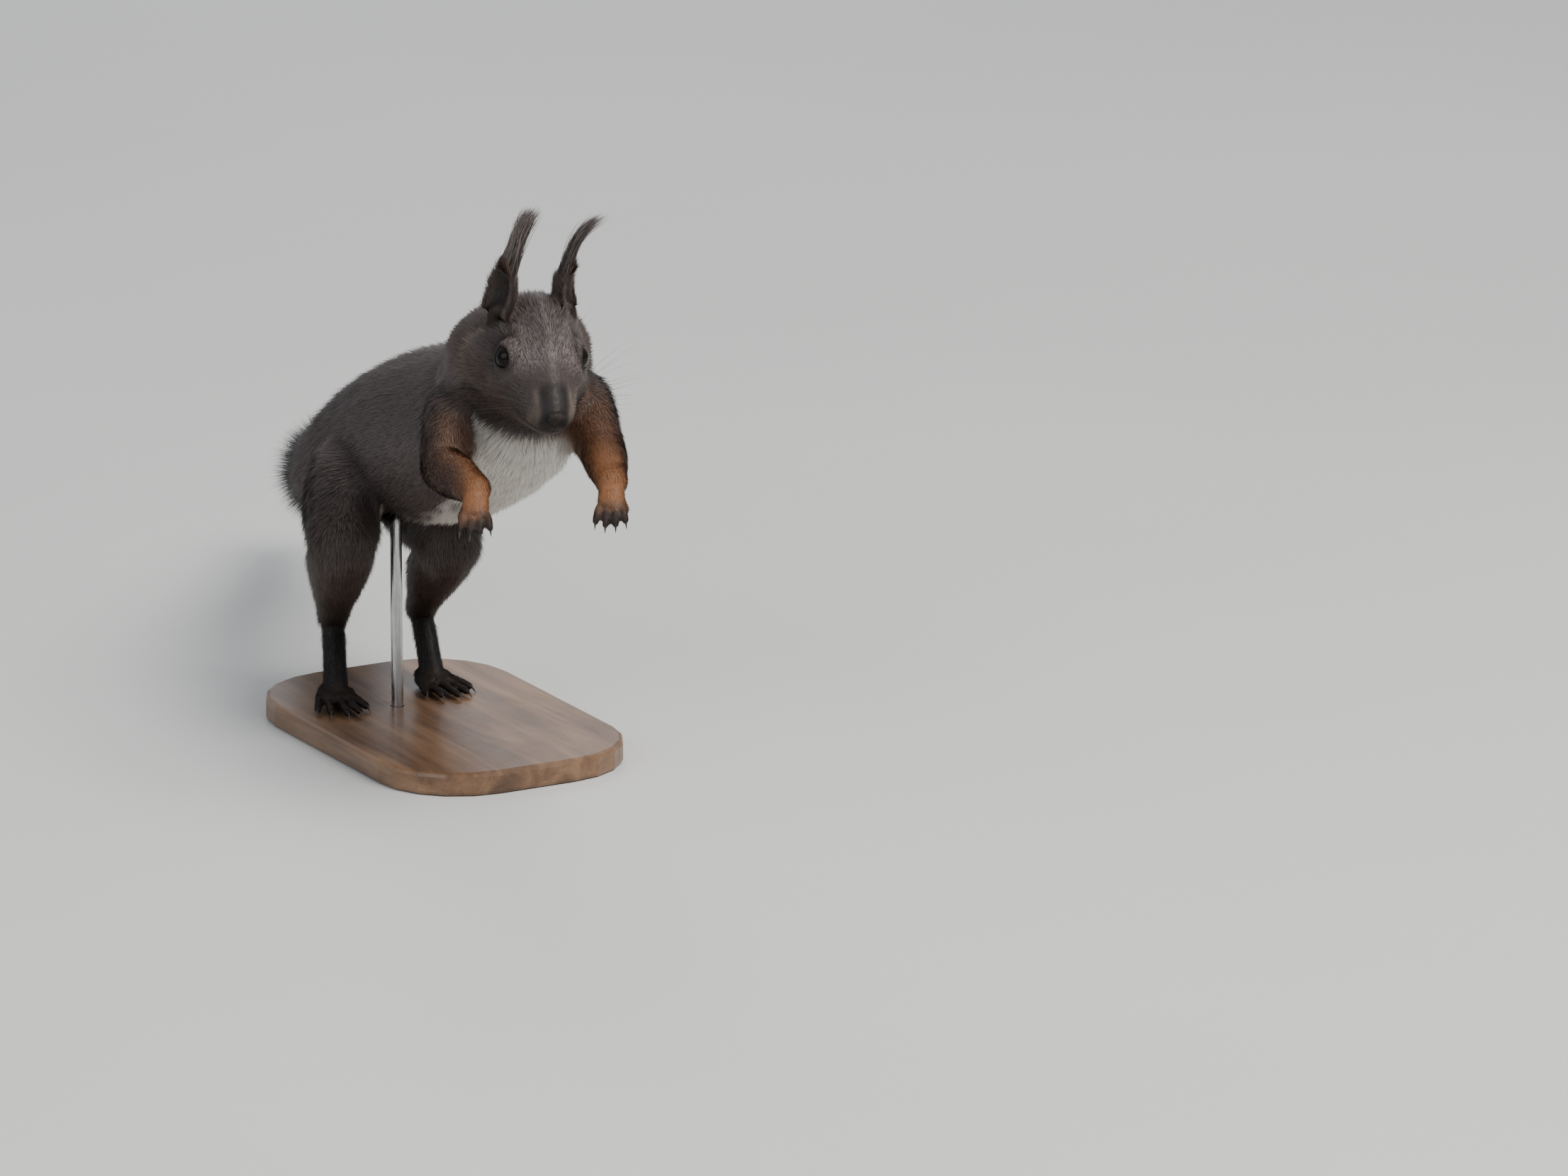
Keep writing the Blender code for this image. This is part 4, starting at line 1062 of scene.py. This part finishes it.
class Hair:
    # gathers blades of one or more lengths of spine into one mesh
    def __init__(self, name, deep=1.0):
        self.name, self.deep, self.total = name, deep, 0
        self.parts = {key: [] for key in ("points", "shading", "corners", "sizes", "along", "chance", "uv")}
        self.marks = []

    def add(self, spine, side, halves, outward, marks, charts, tone=(0.0, 1.0)):
        count, segments = len(spine[0]), len(spine) - 1
        rows, shading = [], []
        for k in range(segments):
            half = (halves * (0.85 if k == 0 else 1.0 - 0.5 * (k / segments) ** 1.5))[:, None]
            rows += [spine[k] - side * half, spine[k] + side * half]
            shading += [unit(outward - side * hairShape["round"]), unit(outward + side * hairShape["round"])]
        rows.append(spine[-1])
        shading.append(outward)
        per = 2 * segments + 1
        quads = [np.array([2 * k, 2 * k + 2, 2 * k + 3, 2 * k + 1]) for k in range(segments - 1)]
        pattern = np.concatenate([*quads, np.array([2 * segments - 2, 2 * segments, 2 * segments - 1])])
        rise = np.tile(np.array([k // 2 / segments for k in range(2 * segments)] + [1.0]), count)
        across = np.tile(np.array([0.0, 1.0] * segments + [0.5]), count)
        spot = np.stack([across - 0.5, rise - 0.5], axis=1) * hairShape["patch"]
        parts = self.parts
        parts["points"].append(np.stack(rows, axis=1).reshape(-1, 3))
        parts["shading"].append(np.stack(shading, axis=1).reshape(-1, 3))
        parts["corners"].append((self.total + np.arange(count)[:, None] * per + pattern[None, :]).ravel())
        parts["sizes"].append(np.tile(np.array([4] * (segments - 1) + [3]), count))
        parts["along"].append(tone[0] + tone[1] * rise)
        parts["chance"].append(np.repeat(rng.random(count), per))
        parts["uv"].append(np.clip(np.repeat(charts, per, axis=0) + spot, 0.0, 1.0))
        self.marks.append({key: np.repeat(values, per) for key, values in marks.items()})
        self.total += count * per

    def build(self):
        whole = {key: np.concatenate(values) for key, values in self.parts.items()}
        mesh = meshFrom(self.name, whole["points"], whole["corners"], whole["sizes"])
        marks = {key: np.concatenate([lot[key] for lot in self.marks]) for key in self.marks[0]}
        setMarkings(mesh, marks, whole["along"], whole["chance"], self.deep)
        layer = mesh.uv_layers.new(name="OFBake")
        onCorners = np.ascontiguousarray(whole["uv"][whole["corners"]], dtype=np.float32)
        layer.data.foreach_set("uv", onCorners.ravel())
        mesh.normals_split_custom_set_from_vertices(whole["shading"])
        return newObject(self.name, mesh), len(whole["corners"]) - 2 * len(whole["sizes"])


def layBlades(hair, roots, normals, ways, lengths, widths, lifts, curl, segments, marks, charts):
    roll = np.radians(rng.normal(0.0, hairShape["roll"], len(roots)))
    side = np.cross(normals, ways)
    side = unit(side * np.cos(roll)[:, None] + normals * np.sin(roll)[:, None])
    sway = rng.normal(0.0, hairShape["sway"], len(roots))
    spine = [roots - normals * (lengths * hairShape["root"])[:, None] * mm]
    for k in range(segments):
        share = (k + 0.5) / segments
        lift = np.radians(lifts * (1.0 - curl * (share - 0.5)))
        way = ways * np.cos(lift)[:, None] + normals * np.sin(lift)[:, None] + side * (sway * share)[:, None]
        spine.append(spine[-1] + unit(way) * (lengths * mm / segments)[:, None])
    hair.add(spine, side, 0.5 * widths * mm, unit(normals + ways * 0.12), marks, charts)


def chartPlaces(roots, weight, group):
    # each bone of a piece has its own strip, unrolled round the bone
    members = [k for k, name in enumerate(boneNames) if bones[name]["group"].startswith(group)]
    owner = np.argmax(weight[:, members], axis=1)
    place = np.zeros((len(roots), 2))
    for strip, k in enumerate(members):
        mine = owner == strip
        if not mine.any():
            continue
        start, end = bones[boneNames[k]]["start"], bones[boneNames[k]]["end"]
        way = unit(end - start)
        first = unit(np.cross(way, [0.3, 0.2, 1.0]))
        second = np.cross(way, first)
        offset = roots[mine] - start
        turn = np.arctan2(offset @ second, offset @ first) / (2 * math.pi) + 0.5
        reach = (offset @ way) / np.linalg.norm(end - start)
        reach = np.clip((reach + 0.8) / 2.6, 0.0, 1.0)
        place[mine, 0] = 0.01 + 0.98 * turn
        place[mine, 1] = (strip + 0.03 + 0.94 * reach) / len(members)
    return place


coatLayers = [  # the short dense hair, and the longer hair that lies over it
    {"share": 0.64, "segments": 1, "long": 0.80, "wide": 1.05, "lift": 0.95},
    {"share": 0.36, "segments": 2, "long": 1.08, "wide": 0.90, "lift": 1.00},
]


def nearLids(roots):
    # the hair is short at the lids and grows longer away from them
    length = np.ones(len(roots))
    for sign in (1.0, -1.0):
        distance, angle, opening, _ = roundEye(roots, sign)
        shorter = np.minimum(length, 0.28 + 0.72 * smooth(opening, opening + 40.0, angle))
        length = np.where(distance < 10.0, shorter, length)
    return length


def growCoat(ground, piece):
    weight, along = ground.weight, ground.along
    density = smooth(0.42, 0.58, ground.share(inGroup(piece["group"], weight)))
    if "half" in piece:
        density = density * (piece["half"] * (ground.facing @ backUp) > -0.05)
    hairHere, wideHere = (ground.share(blended(key, weight, along)) for key in ("hair", "wide"))
    density = density / (np.clip(hairHere, 1.0, 12.0) * wideHere) ** 0.85
    layers = piece.get("layers", coatLayers)
    blades = piece["triangles"] / sum(layer["share"] * (2 * layer["segments"] - 1) for layer in layers)
    hair = Hair(piece["name"], piece.get("deep", 1.0))
    for layer in layers:
        roots, normals = ground.sow(int(blades * layer["share"]), density)
        weight, along = influence(roots)
        ways = lieOfCoat(roots, normals, weight, along)
        clump = piece["clump"]
        ways = ways + noiseVectors(roots, clump, 31) * 0.16 + noiseVectors(roots, clump * 0.35, 37) * 0.12
        ways = ways + rng.normal(0.0, piece.get("stray", 0.05), ways.shape)
        ways = unit(ways - (ways * normals).sum(axis=1, keepdims=True) * normals)
        lengths = blended("hair", weight, along) * layer["long"] * (0.75 + 0.45 * rng.random(len(roots)))
        lengths = lengths * (1.0 + 0.10 * valueNoise(roots, 6.0, 41)) * nearLids(roots)
        widths = blended("wide", weight, along) * layer["wide"] * (0.75 + 0.5 * rng.random(len(roots)))
        lifts = blended("lift", weight, along) * layer["lift"] * (0.55 + 0.9 * rng.random(len(roots)))
        lifts = lifts + 3.0 * valueNoise(roots, clump * 0.8, 43)
        marks = markings(roots, normals, weight, along)
        charts = chartPlaces(roots, weight, piece["group"])
        layBlades(hair, roots, normals, ways, lengths, widths, lifts, 0.5, layer["segments"], marks, charts)
    made, triangles = hair.build()
    dress(made, furLook)
    print("coat:", piece["name"], triangles, "triangles")
    return made


tailLayers = [{"share": 0.45, "segments": 2, "long": 0.72, "wide": 1.05, "lift": 0.9},
              {"share": 0.55, "segments": 2, "long": 1.0, "wide": 0.95, "lift": 1.0}]
coatPieces = [
    {"name": "coatHead", "group": "head", "triangles": 188000, "clump": 4.0, "slot": "fur_brown"},
    {"name": "coatNeck", "group": "neck", "triangles": 110000, "clump": 6.0, "slot": "fur_brown"},
    {"name": "coatBack", "group": "trunk", "half": 1, "triangles": 190000, "clump": 8.0, "slot": "fur_brown"},
    {"name": "coatBelly", "group": "trunk", "half": -1, "triangles": 170000, "clump": 8.0, "slot": "fur_brown"},
    {"name": "coatHindLeft", "group": "hind_l", "triangles": 110000, "clump": 6.0, "slot": "fur_brown"},
    {"name": "coatHindRight", "group": "hind_r", "triangles": 110000, "clump": 6.0, "slot": "fur_brown"},
    {"name": "coatForeLeft", "group": "fore_l", "triangles": 84000, "clump": 5.0, "slot": "fur_rust"},
    {"name": "coatForeRight", "group": "fore_r", "triangles": 84000, "clump": 5.0, "slot": "fur_rust"},
    {"name": "coatPaws", "group": "paws", "triangles": 110000, "clump": 3.0, "slot": "fur_dark"},
    {"name": "coatEars", "group": "ear", "triangles": 70000, "clump": 3.0, "deep": 0.0, "slot": "fur_dark"},
    {"name": "coatTail", "group": "tail", "triangles": 192000, "clump": 9.0, "stray": 0.16, "slot": "fur_dark",
     "layers": tailLayers},
]

earTufts = {
    "count": 1000, "segments": 6, "long": (0.45, 1.10), "wide": 0.17, "from": 0.62, "spread": 3.2, "tan": 0.12,
    "tone": (0.55, 0.4),
}


def growEarTuft(ground, side):
    # the long hairs root on the ear's upper rim and gather along the tuft's line, each with its own stray
    weight, along = ground.weight, ground.along
    index = boneNames.index("ear_" + side)
    high = ground.share(weight[:, index] * smooth(earTufts["from"], 0.95, along[:, index]))
    roots, _ = ground.sow(earTufts["count"], high)
    count, segments = len(roots), earTufts["segments"]
    line = np.array(tuftLine[side])
    steps = np.concatenate([[0.0], np.cumsum(np.linalg.norm(np.diff(line, axis=0), axis=1))])
    steps /= steps[-1]
    low, high = earTufts["long"]
    length = low + (high - low) * rng.random(count) ** 0.8
    stray = rng.normal(0.0, 1.0, (count, 3)) * np.array([1.0, 1.0, 0.35]) * earTufts["spread"] * 0.5 * mm
    spread = roots - line[0]
    spine = [roots]
    for k in range(1, segments + 1):
        share = k / segments * length
        middle = np.stack([np.interp(share, steps, line[:, axis]) for axis in range(3)], axis=1)
        beyond = np.clip(share - 1.0, 0.0, 1.0)[:, None] * (line[-1] - line[-2]) * 4.0
        gather = (1.0 - 0.80 * np.clip(share, 0.0, 1.0) ** 0.9)[:, None]
        spine.append(middle + beyond + spread * gather + stray * share[:, None] ** 1.2)
    way = unit(spine[-1] - spine[0])
    facing = earFront(limbs[side]["sign"])
    angle = rng.normal(0.0, 0.5, count)[:, None]
    aside = unit(np.cross(np.broadcast_to(-facing, way.shape), way))
    aside = unit(aside * np.cos(angle) + np.cross(way, aside) * np.sin(angle))
    marks = {key: np.zeros(count) for key in ("pale", "rust", "dark")}
    marks["tan"], marks["ticked"] = np.full(count, earTufts["tan"]), np.full(count, 0.5)
    charts = chartPlaces(roots, influence(roots)[0], "ear_" + side)
    hair = Hair("earTuftLeft" if side == "l" else "earTuftRight", 0.0)
    halves = np.full(count, 0.5 * earTufts["wide"] * mm)
    hair.add(spine, aside, halves, unit(np.cross(way, aside)), marks, charts, earTufts["tone"])
    made, triangles = hair.build()
    dress(made, furLook)
    print("coat:", made.name, triangles, "triangles")
    return made


# ---- eyes, nose, claws, whiskers


def makeEye(side):
    sign = limbs[side]["sign"]
    form = bmesh.new()
    bmesh.ops.create_uvsphere(form, u_segments=48, v_segments=32, radius=eyeLook["radius"] * mm)
    gaze = Vector(gazeOf(sign))
    turn = gaze.to_track_quat("Z", "Y").to_matrix().to_4x4()
    clearFrom = eyeLook["proudFrom"]
    for vert in form.verts:
        cap = max(0.0, vert.co.z / (eyeLook["radius"] * mm) - clearFrom) / (1.0 - clearFrom)
        vert.co.z += eyeLook["proud"] * mm * cap
    bmesh.ops.transform(form, matrix=Matrix.Translation(Vector(eyeCentre(sign))) @ turn, verts=form.verts)
    made = formToObject(form, "eyeLeft" if side == "l" else "eyeRight")
    points = coordinates(made.data)
    angle = np.degrees(np.arccos(np.clip(unit(points - eyeCentre(sign)) @ gazeOf(sign), -1, 1)))
    setValues(made.data, "fromPupil", np.clip(angle / 60.0, 0, 1))
    dress(made, eyeLooks)
    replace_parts(made, "eye_" + side)
    return made


noseLook = {
    "wide": 3.0, "deep": 2.1, "high": 2.3, "place": (0.0, 26.9, -1.4),
    "nostril": 0.42, "slit": 0.25, "groove": 0.16,  # how far they go in
}


def makeNose():
    form = bmesh.new()
    bmesh.ops.create_uvsphere(form, u_segments=64, v_segments=40, radius=1.0)
    points = np.array([vert.co for vert in form.verts])
    side, front, up = points.T
    side = side * (1.0 + 0.22 * up)  # broader on top
    aside = np.abs(side)
    nostril = bell(aside - 0.50, 0.20) * bell(up + 0.12 + 0.35 * (aside - 0.50), 0.22) * (front > 0)
    slit = bell(aside - 0.80, 0.22) * bell(up + 0.30, 0.12) * (front > -0.2)
    groove = bell(aside, 0.09) * smooth(0.15, -0.3, up)
    front = front - noseLook["nostril"] * nostril - noseLook["slit"] * slit - noseLook["groove"] * groove
    local = np.stack([side * noseLook["wide"], front * noseLook["deep"], up * noseLook["high"]], axis=1)
    place = onHead(*noseLook["place"])
    world = place + (local[:, :1] * headLeft + local[:, 1:2] * headForward + local[:, 2:] * headUp) * mm
    for vert, spot in zip(form.verts, world):
        vert.co = spot
    made = formToObject(form, "nosePad")
    dress(made, noseLooks)
    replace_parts(made, "nose")
    return made


clawLook = {"steps": 7, "sides": 8, "curve": 0.55, "thick": 0.62, "point": 0.05, "flat": 0.72}


def makeClaws(name, digits):
    form = bmesh.new()
    steps, sides = clawLook["steps"], clawLook["sides"]
    for digit, fall in digits:
        _, knuckle, tip = digit["points"]
        way = unit(tip - knuckle)
        start = tip + (way * digit["radius"] * 0.35 - fall * digit["radius"] * 0.15) * mm
        rings, widths = [], []
        for share in (k / steps for k in range(steps + 1)):
            reach, drop = digit["claw"] * share, digit["claw"] * clawLook["curve"] * share**2
            rings.append(start + (way * reach * (1.0 - 0.12 * share) + fall * drop) * mm)
            widths.append(clawLook["thick"] * (1.0 - share) ** 0.8 + clawLook["point"])
        addTube(form, rings, [width * clawLook["flat"] for width in widths], widths, -fall, sides)
    made = formToObject(form, name)
    shares = np.repeat(np.arange(steps + 1) / steps, sides)
    setValues(made.data, "tuftAlong", np.tile(shares, len(digits)))
    dress(made, clawLooks)


whiskerLook = {
    "rows": 5, "perRow": 4, "long": (16.0, 38.0), "thick": 0.13, "steps": 8, "sides": 4,
    "few": ((3.0, 11.0, 2), (8.0, -9.0, 2)),  # over the eye and on the cheek: forward, up, how many
    "fewLong": (12.0, 18.0), "fewThick": 0.11,
}


def makeWhiskers(skin):
    form = bmesh.new()
    steps, sides = whiskerLook["steps"], whiskerLook["sides"]
    count = 0

    def whisker(root, way, length, thick, sag):
        shares = [k / steps for k in range(steps + 1)]
        line = [root + (way * length * share + down * sag * share**2) * mm for share in shares]
        sizes = [thick * (1.0 - 0.88 * share) * 0.5 for share in shares]
        addTube(form, line, sizes, sizes, (0.2, 0.1, 1.0), sides)

    def onSkin(start, target):
        hit, where, _, _ = skin.ray_cast(Vector(start), Vector(unit(target - start)))
        return np.array(where) if hit else None

    for sign in (1.0, -1.0):
        for row in range(whiskerLook["rows"]):
            for k in range(whiskerLook["perRow"]):
                pad = onHead(sign * 9.0, 21.0 - 2.6 * k, -1.2 - 1.7 * row + 0.3 * k)
                root = onSkin(onHead(0, 16, -4), pad)
                if root is None:
                    continue
                low, high = whiskerLook["long"]
                length = low + (high - low) * (0.25 + 0.25 * k) * rng.uniform(0.8, 1.1)
                way = headLeft * sign * 1.0 - headForward * (0.10 + 0.28 * k) + headUp * (0.25 - 0.16 * row)
                way = unit(way + rng.normal(0, 0.07, 3))
                whisker(root, way, length, whiskerLook["thick"], length * rng.uniform(0.05, 0.2))
                count += 1
        for forward, up, few in whiskerLook["few"]:
            for k in range(few):
                root = onSkin(onHead(0, 0, 0), onHead(sign * (9.0 + 1.5 * k), forward - 1.5 * k, up))
                if root is None:
                    continue
                way = unit(headLeft * sign * 0.6 + headUp * (0.8 if up > 0 else -0.6) - headForward * 0.3
                           + rng.normal(0, 0.1, 3))
                whisker(root, way, rng.uniform(*whiskerLook["fewLong"]), whiskerLook["fewThick"], 1.0)
                count += 1
    made = formToObject(form, "whiskers")
    shares = np.repeat(np.arange(steps + 1) / steps, sides)
    setValues(made.data, "tuftAlong", np.tile(shares, count))
    dress(made, whiskerLooks)


# ---- camera, lights and floor

view = {"azimuth": -29.033, "elevation": 15.604, "away": 4.0, "lens": 273.4, "from": (-27.0, 15.0)}


def toward(azimuth, elevation):
    turn, rise = math.radians(azimuth), math.radians(elevation)
    return Vector((math.sin(turn) * math.cos(rise), -math.cos(turn) * math.cos(rise), math.sin(rise)))


def makeCamera():
    # it stands on one line out from the animal and looks a little beside it, so the animal is off the middle
    back = toward(view["azimuth"], view["elevation"])
    right = Vector((-back.y, back.x, 0.0)).normalized()
    lens = bpy.data.cameras.new("camera")
    lens.lens, lens.sensor_width = view["lens"], 36.0
    lens.clip_start, lens.clip_end = 0.1, 60.0
    camera = bpy.data.objects.new("camera", lens)
    bpy.context.scene.collection.objects.link(camera)
    place = Vector(at(0, 0, 75)) + toward(*view["from"]) * view["away"]
    turned = Matrix((right, back.cross(right), back)).transposed()
    camera.matrix_world = Matrix.Translation(place) @ turned.to_4x4()
    bpy.context.scene.camera = camera


lightsLook = {  # place, size, power and colour
    "keyLight": ((0.42, -1.05, 1.65), 1.2, 46.0, (1.0, 0.965, 0.91)),
    "fillLight": ((-1.40, -0.40, 0.85), 1.2, 7.0, (0.92, 0.96, 1.0)),
    "rimLight": ((0.7, 1.5, 1.3), 0.8, 8.0, (1.0, 1.0, 1.0)),
}
studioLook = {
    "target": (0.0, -0.02, 0.09), "sky": (0.86, 0.92, 1.0, 1.0), "skyStrength": 0.48, "floor": 14.0,
    "paper": [(0.0, (0.60, 0.60, 0.585)), (1.0, (0.63, 0.63, 0.615))],
}


def makeLight(name, place, size, power, colour):
    light = bpy.data.lights.new(name, "AREA")
    light.shape = "DISK"
    light.size, light.energy, light.color = size, power, colour
    made = bpy.data.objects.new(name, light)
    bpy.context.scene.collection.objects.link(made)
    made.location = place
    made.rotation_euler = (Vector(studioLook["target"]) - Vector(place)).to_track_quat("-Z", "Y").to_euler()


def makeStudio():
    form = bmesh.new()
    bmesh.ops.create_grid(form, x_segments=2, y_segments=2, size=studioLook["floor"])
    floor = formToObject(form, "floor")
    made, tree = newMaterial("floorPaper", Roughness=0.85)
    tree.shade(Base_Color=tree.ramp(patchy(tree, 3.0, 0.0, 1.0), studioLook["paper"]))
    floor.data.materials.append(made)
    world = bpy.data.worlds.new("studio")
    bpy.context.scene.world = world
    world.use_nodes = True
    sky = world.node_tree.nodes["Background"].inputs
    sky["Color"].default_value, sky["Strength"].default_value = studioLook["sky"], studioLook["skyStrength"]
    for name, (place, size, power, colour) in lightsLook.items():
        makeLight(name, place, size, power, colour)


# ---- putting it together

makeCamera()
makeStudio()
skinLooks, furLook, eyeLooks = skinMaterial(), furMaterial(), eyeMaterial()
noseLooks, clawLooks, whiskerLooks = noseMaterial(), clawMaterial(), whiskerMaterial()
print("stage: camera, lights, floor and materials")

skin = makeSkin()
ground = Ground(skin.data)
setMarkings(skin.data, markings(ground.points, ground.normals, ground.weight, ground.along),
            np.full(len(ground.points), 0.30), 0.5 + 0.25 * valueNoise(ground.points, 1.2, 5))
dress(skin, skinLooks)
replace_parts(skin, *fleshNodes, "hand_l", "hand_r", "foot_l", "foot_r", "tail_1", "tail_2", "tail_3", "tail_4")

for piece in coatPieces:
    growCoat(ground, piece)
for side in limbs:
    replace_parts(growEarTuft(ground, side), "ear_tuft_" + side)
    makeEye(side)
makeNose()
fingers = [(digit, back) for digits, _, back, _ in map(handDigits, limbs) for digit in digits]
makeClaws("clawsHands", [(digit, unit(down * 0.8 - back * 0.4)) for digit, back in fingers])
makeClaws("clawsFeet", [(digit, down) for side in limbs for digit in footDigits(side)])
makeWhiskers(skin)
print("details: eyes, nose, claws, whiskers")

for node, look in (("stand_base", woodMaterial()), ("stand_rod", steelMaterial())):
    for slotOf in nodes[node].material_slots:
        slotOf.material = look
    if not nodes[node].material_slots:
        nodes[node].data.materials.append(look)
print("stand: wood and steel")
